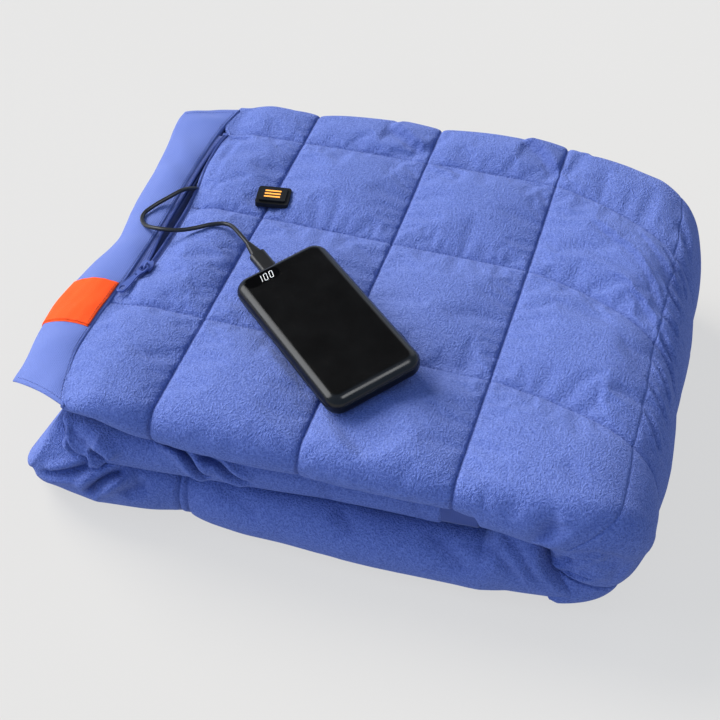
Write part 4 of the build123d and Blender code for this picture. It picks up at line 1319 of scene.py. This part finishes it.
def bank_matrix(x, y, z):
    """Text frame on the power bank: runs across it, its top towards the plug."""
    m_ = Matrix.Identity(4)
    ax, ay, az = BYD.normalized(), -BX.normalized(), BZ.normalized()
    for r_ in range(3):
        m_[r_][0], m_[r_][1], m_[r_][2] = ax[r_], ay[r_], az[r_]
    o_ = BANK_POS + BX * x + BYD * y + BZ * z
    m_.translation = o_
    return m_


def bar_outline(x0, y0, x1, y1, w_):
    """A segment with pointed ends, from one point to the other."""
    d = Vector((x1 - x0, y1 - y0))
    l = d.length
    d /= l
    n_ = Vector((-d.y, d.x)) * w_ / 2
    a, b = Vector((x0, y0)), Vector((x1, y1))
    return [tuple(a), tuple(a + d * w_ / 2 - n_), tuple(b - d * w_ / 2 - n_), tuple(b), tuple(b - d * w_ / 2 + n_), tuple(a + d * w_ / 2 + n_)]


def digit(ch, x, y, w_, h_, t_):
    """Seven-segment strokes; x, y is the digit's lower left corner."""
    g = t_ * 0.16
    on = {"1": "bc", "0": "abcdef"}[ch]
    ends = {"a": (x, y + h_, x + w_, y + h_), "b": (x + w_, y + h_, x + w_, y + h_ / 2), "c": (x + w_, y + h_ / 2, x + w_, y),
            "d": (x, y, x + w_, y), "e": (x, y + h_ / 2, x, y), "f": (x, y + h_, x, y + h_ / 2)}
    out = []
    for k in on:
        x0, y0, x1, y1 = ends[k]
        d = Vector((x1 - x0, y1 - y0)).normalized() * g
        out.append(bar_outline(x0 + d.x, y0 + d.y, x1 - d.x, y1 - d.y, t_))
    return out


DW, DH, DT, DP = 0.0021, 0.0058, 0.00038, 0.0041
segsd = digit("1", -0.0061, -DH / 2, DW, DH, DT) + digit("0", -0.0061 + DP, -DH / 2, DW, DH, DT) + digit("0", -0.0061 + 2 * DP, -DH / 2, DW, DH, DT)
segsd = [[(x_ + 0.22 * y_, y_) for x_, y_ in o_] for o_ in segsd]
dm = bank_matrix(-0.0554, -0.0118, 0.00788)
digits = join_pieces([flat_plate("seg", [o_], 0.00003, 0.00001, DIGIT, dm) for o_ in segsd], "display_digits")
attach(digits, "power_bank")

# the line where the bank's covers meet, a fine bead round three sides
bead = []
bw, bl, br_ = 0.03341, 0.06641, 0.0104
for cx_, cy_, a0_ in ((bw - br_, bl - br_, 0), (bw - br_, -bl + br_, -90), (-bw + br_, -bl + br_, -180), (-bw + br_, bl - br_, -270)):
    for k_ in range(9):
        a_ = math.radians(a0_ + (90 if a0_ == 0 else 90) - 90 * k_ / 8)
        bead.append((cx_ + br_ * math.cos(a_), cy_ + br_ * math.sin(a_), 0.0))
bead = bead[4:-4]
bead_ob = wire_loop("bank_parting_bead", bead, 0.00014, BANK, bank_matrix(0, 0, 0.0021), cyclic=False)
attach(bead_ob, "power_bank")

# ------------------------------------------------------------------ stage and light
fm, nt, bs = new_mat("floor")
v = coords(nt)
col = ramp(nt, noise(nt, v, 3.0, 2.0, 0.5), [(0.3, (0.100, 0.100, 0.100)), (0.7, (0.104, 0.104, 0.104))])
nt.links.new(col, bs.inputs["Base Color"])
bs.inputs["Roughness"].default_value = 0.9
bs.inputs["Specular IOR Level"].default_value = 0.1
bs.inputs["Emission Color"].default_value = (1.0, 0.995, 0.985, 1)
bs.inputs["Emission Strength"].default_value = 0.618
fv = [(-30, -30, 0), (30, -30, 0), (30, 30, 0), (-30, 30, 0)]
floor = mesh_object("floor", fv, [(0, 1, 2, 3)], fm, smooth=False)

w = bpy.data.worlds.new("world")
sc.world = w
w.use_nodes = True
wt = w.node_tree
bg = wt.nodes["Background"]
bg.inputs["Strength"].default_value = 0.49
# a soft studio dome with one darker quarter, high and to the back left
tc = wt.nodes.new("ShaderNodeTexCoord")
dp = wt.nodes.new("ShaderNodeVectorMath")
dp.operation = "DOT_PRODUCT"
dp.inputs[1].default_value = (-0.375, 0.512, 0.772)
wt.links.new(tc.outputs["Generated"], dp.inputs[0])
rp = wt.nodes.new("ShaderNodeValToRGB")
rp.color_ramp.elements[0].position = 0.80
rp.color_ramp.elements[0].color = (0.74, 0.97, 1.34, 1)
rp.color_ramp.elements[1].position = 0.95
rp.color_ramp.elements[1].color = (0.055, 0.06, 0.07, 1)
wt.links.new(dp.outputs["Value"], rp.inputs["Fac"])
wt.links.new(rp.outputs["Color"], bg.inputs["Color"])


def sun(name, toward, strength, angle, color=(1, 1, 1), glossy=True):
    d = bpy.data.lights.new(name, "SUN")
    d.energy = strength
    d.angle = math.radians(angle)
    d.color = color
    o = link(bpy.data.objects.new(name, d))
    o.location = Vector(toward) * 2
    o.rotation_mode = "QUATERNION"
    o.rotation_quaternion = (-Vector(toward)).to_track_quat("-Z", "Y")
    o.visible_glossy = glossy
    return o


sun("key", (-0.72, 0.35, 0.60), 5.2, 34.0, (1.10, 1.0, 0.84), glossy=False)
sun("back", (0.20, 0.85, 0.60), 0.25, 40.0)
sun("front_fill", (-0.50, -0.85, 0.16), 0.68, 40.0, (0.60, 0.88, 1.45), glossy=False)
sun("box_left", (-0.85, -0.02, 0.50), 1.9, 42.0)
sun("box_top", (0.40, -0.22, 0.89), 0.80, 24.0).visible_diffuse = False
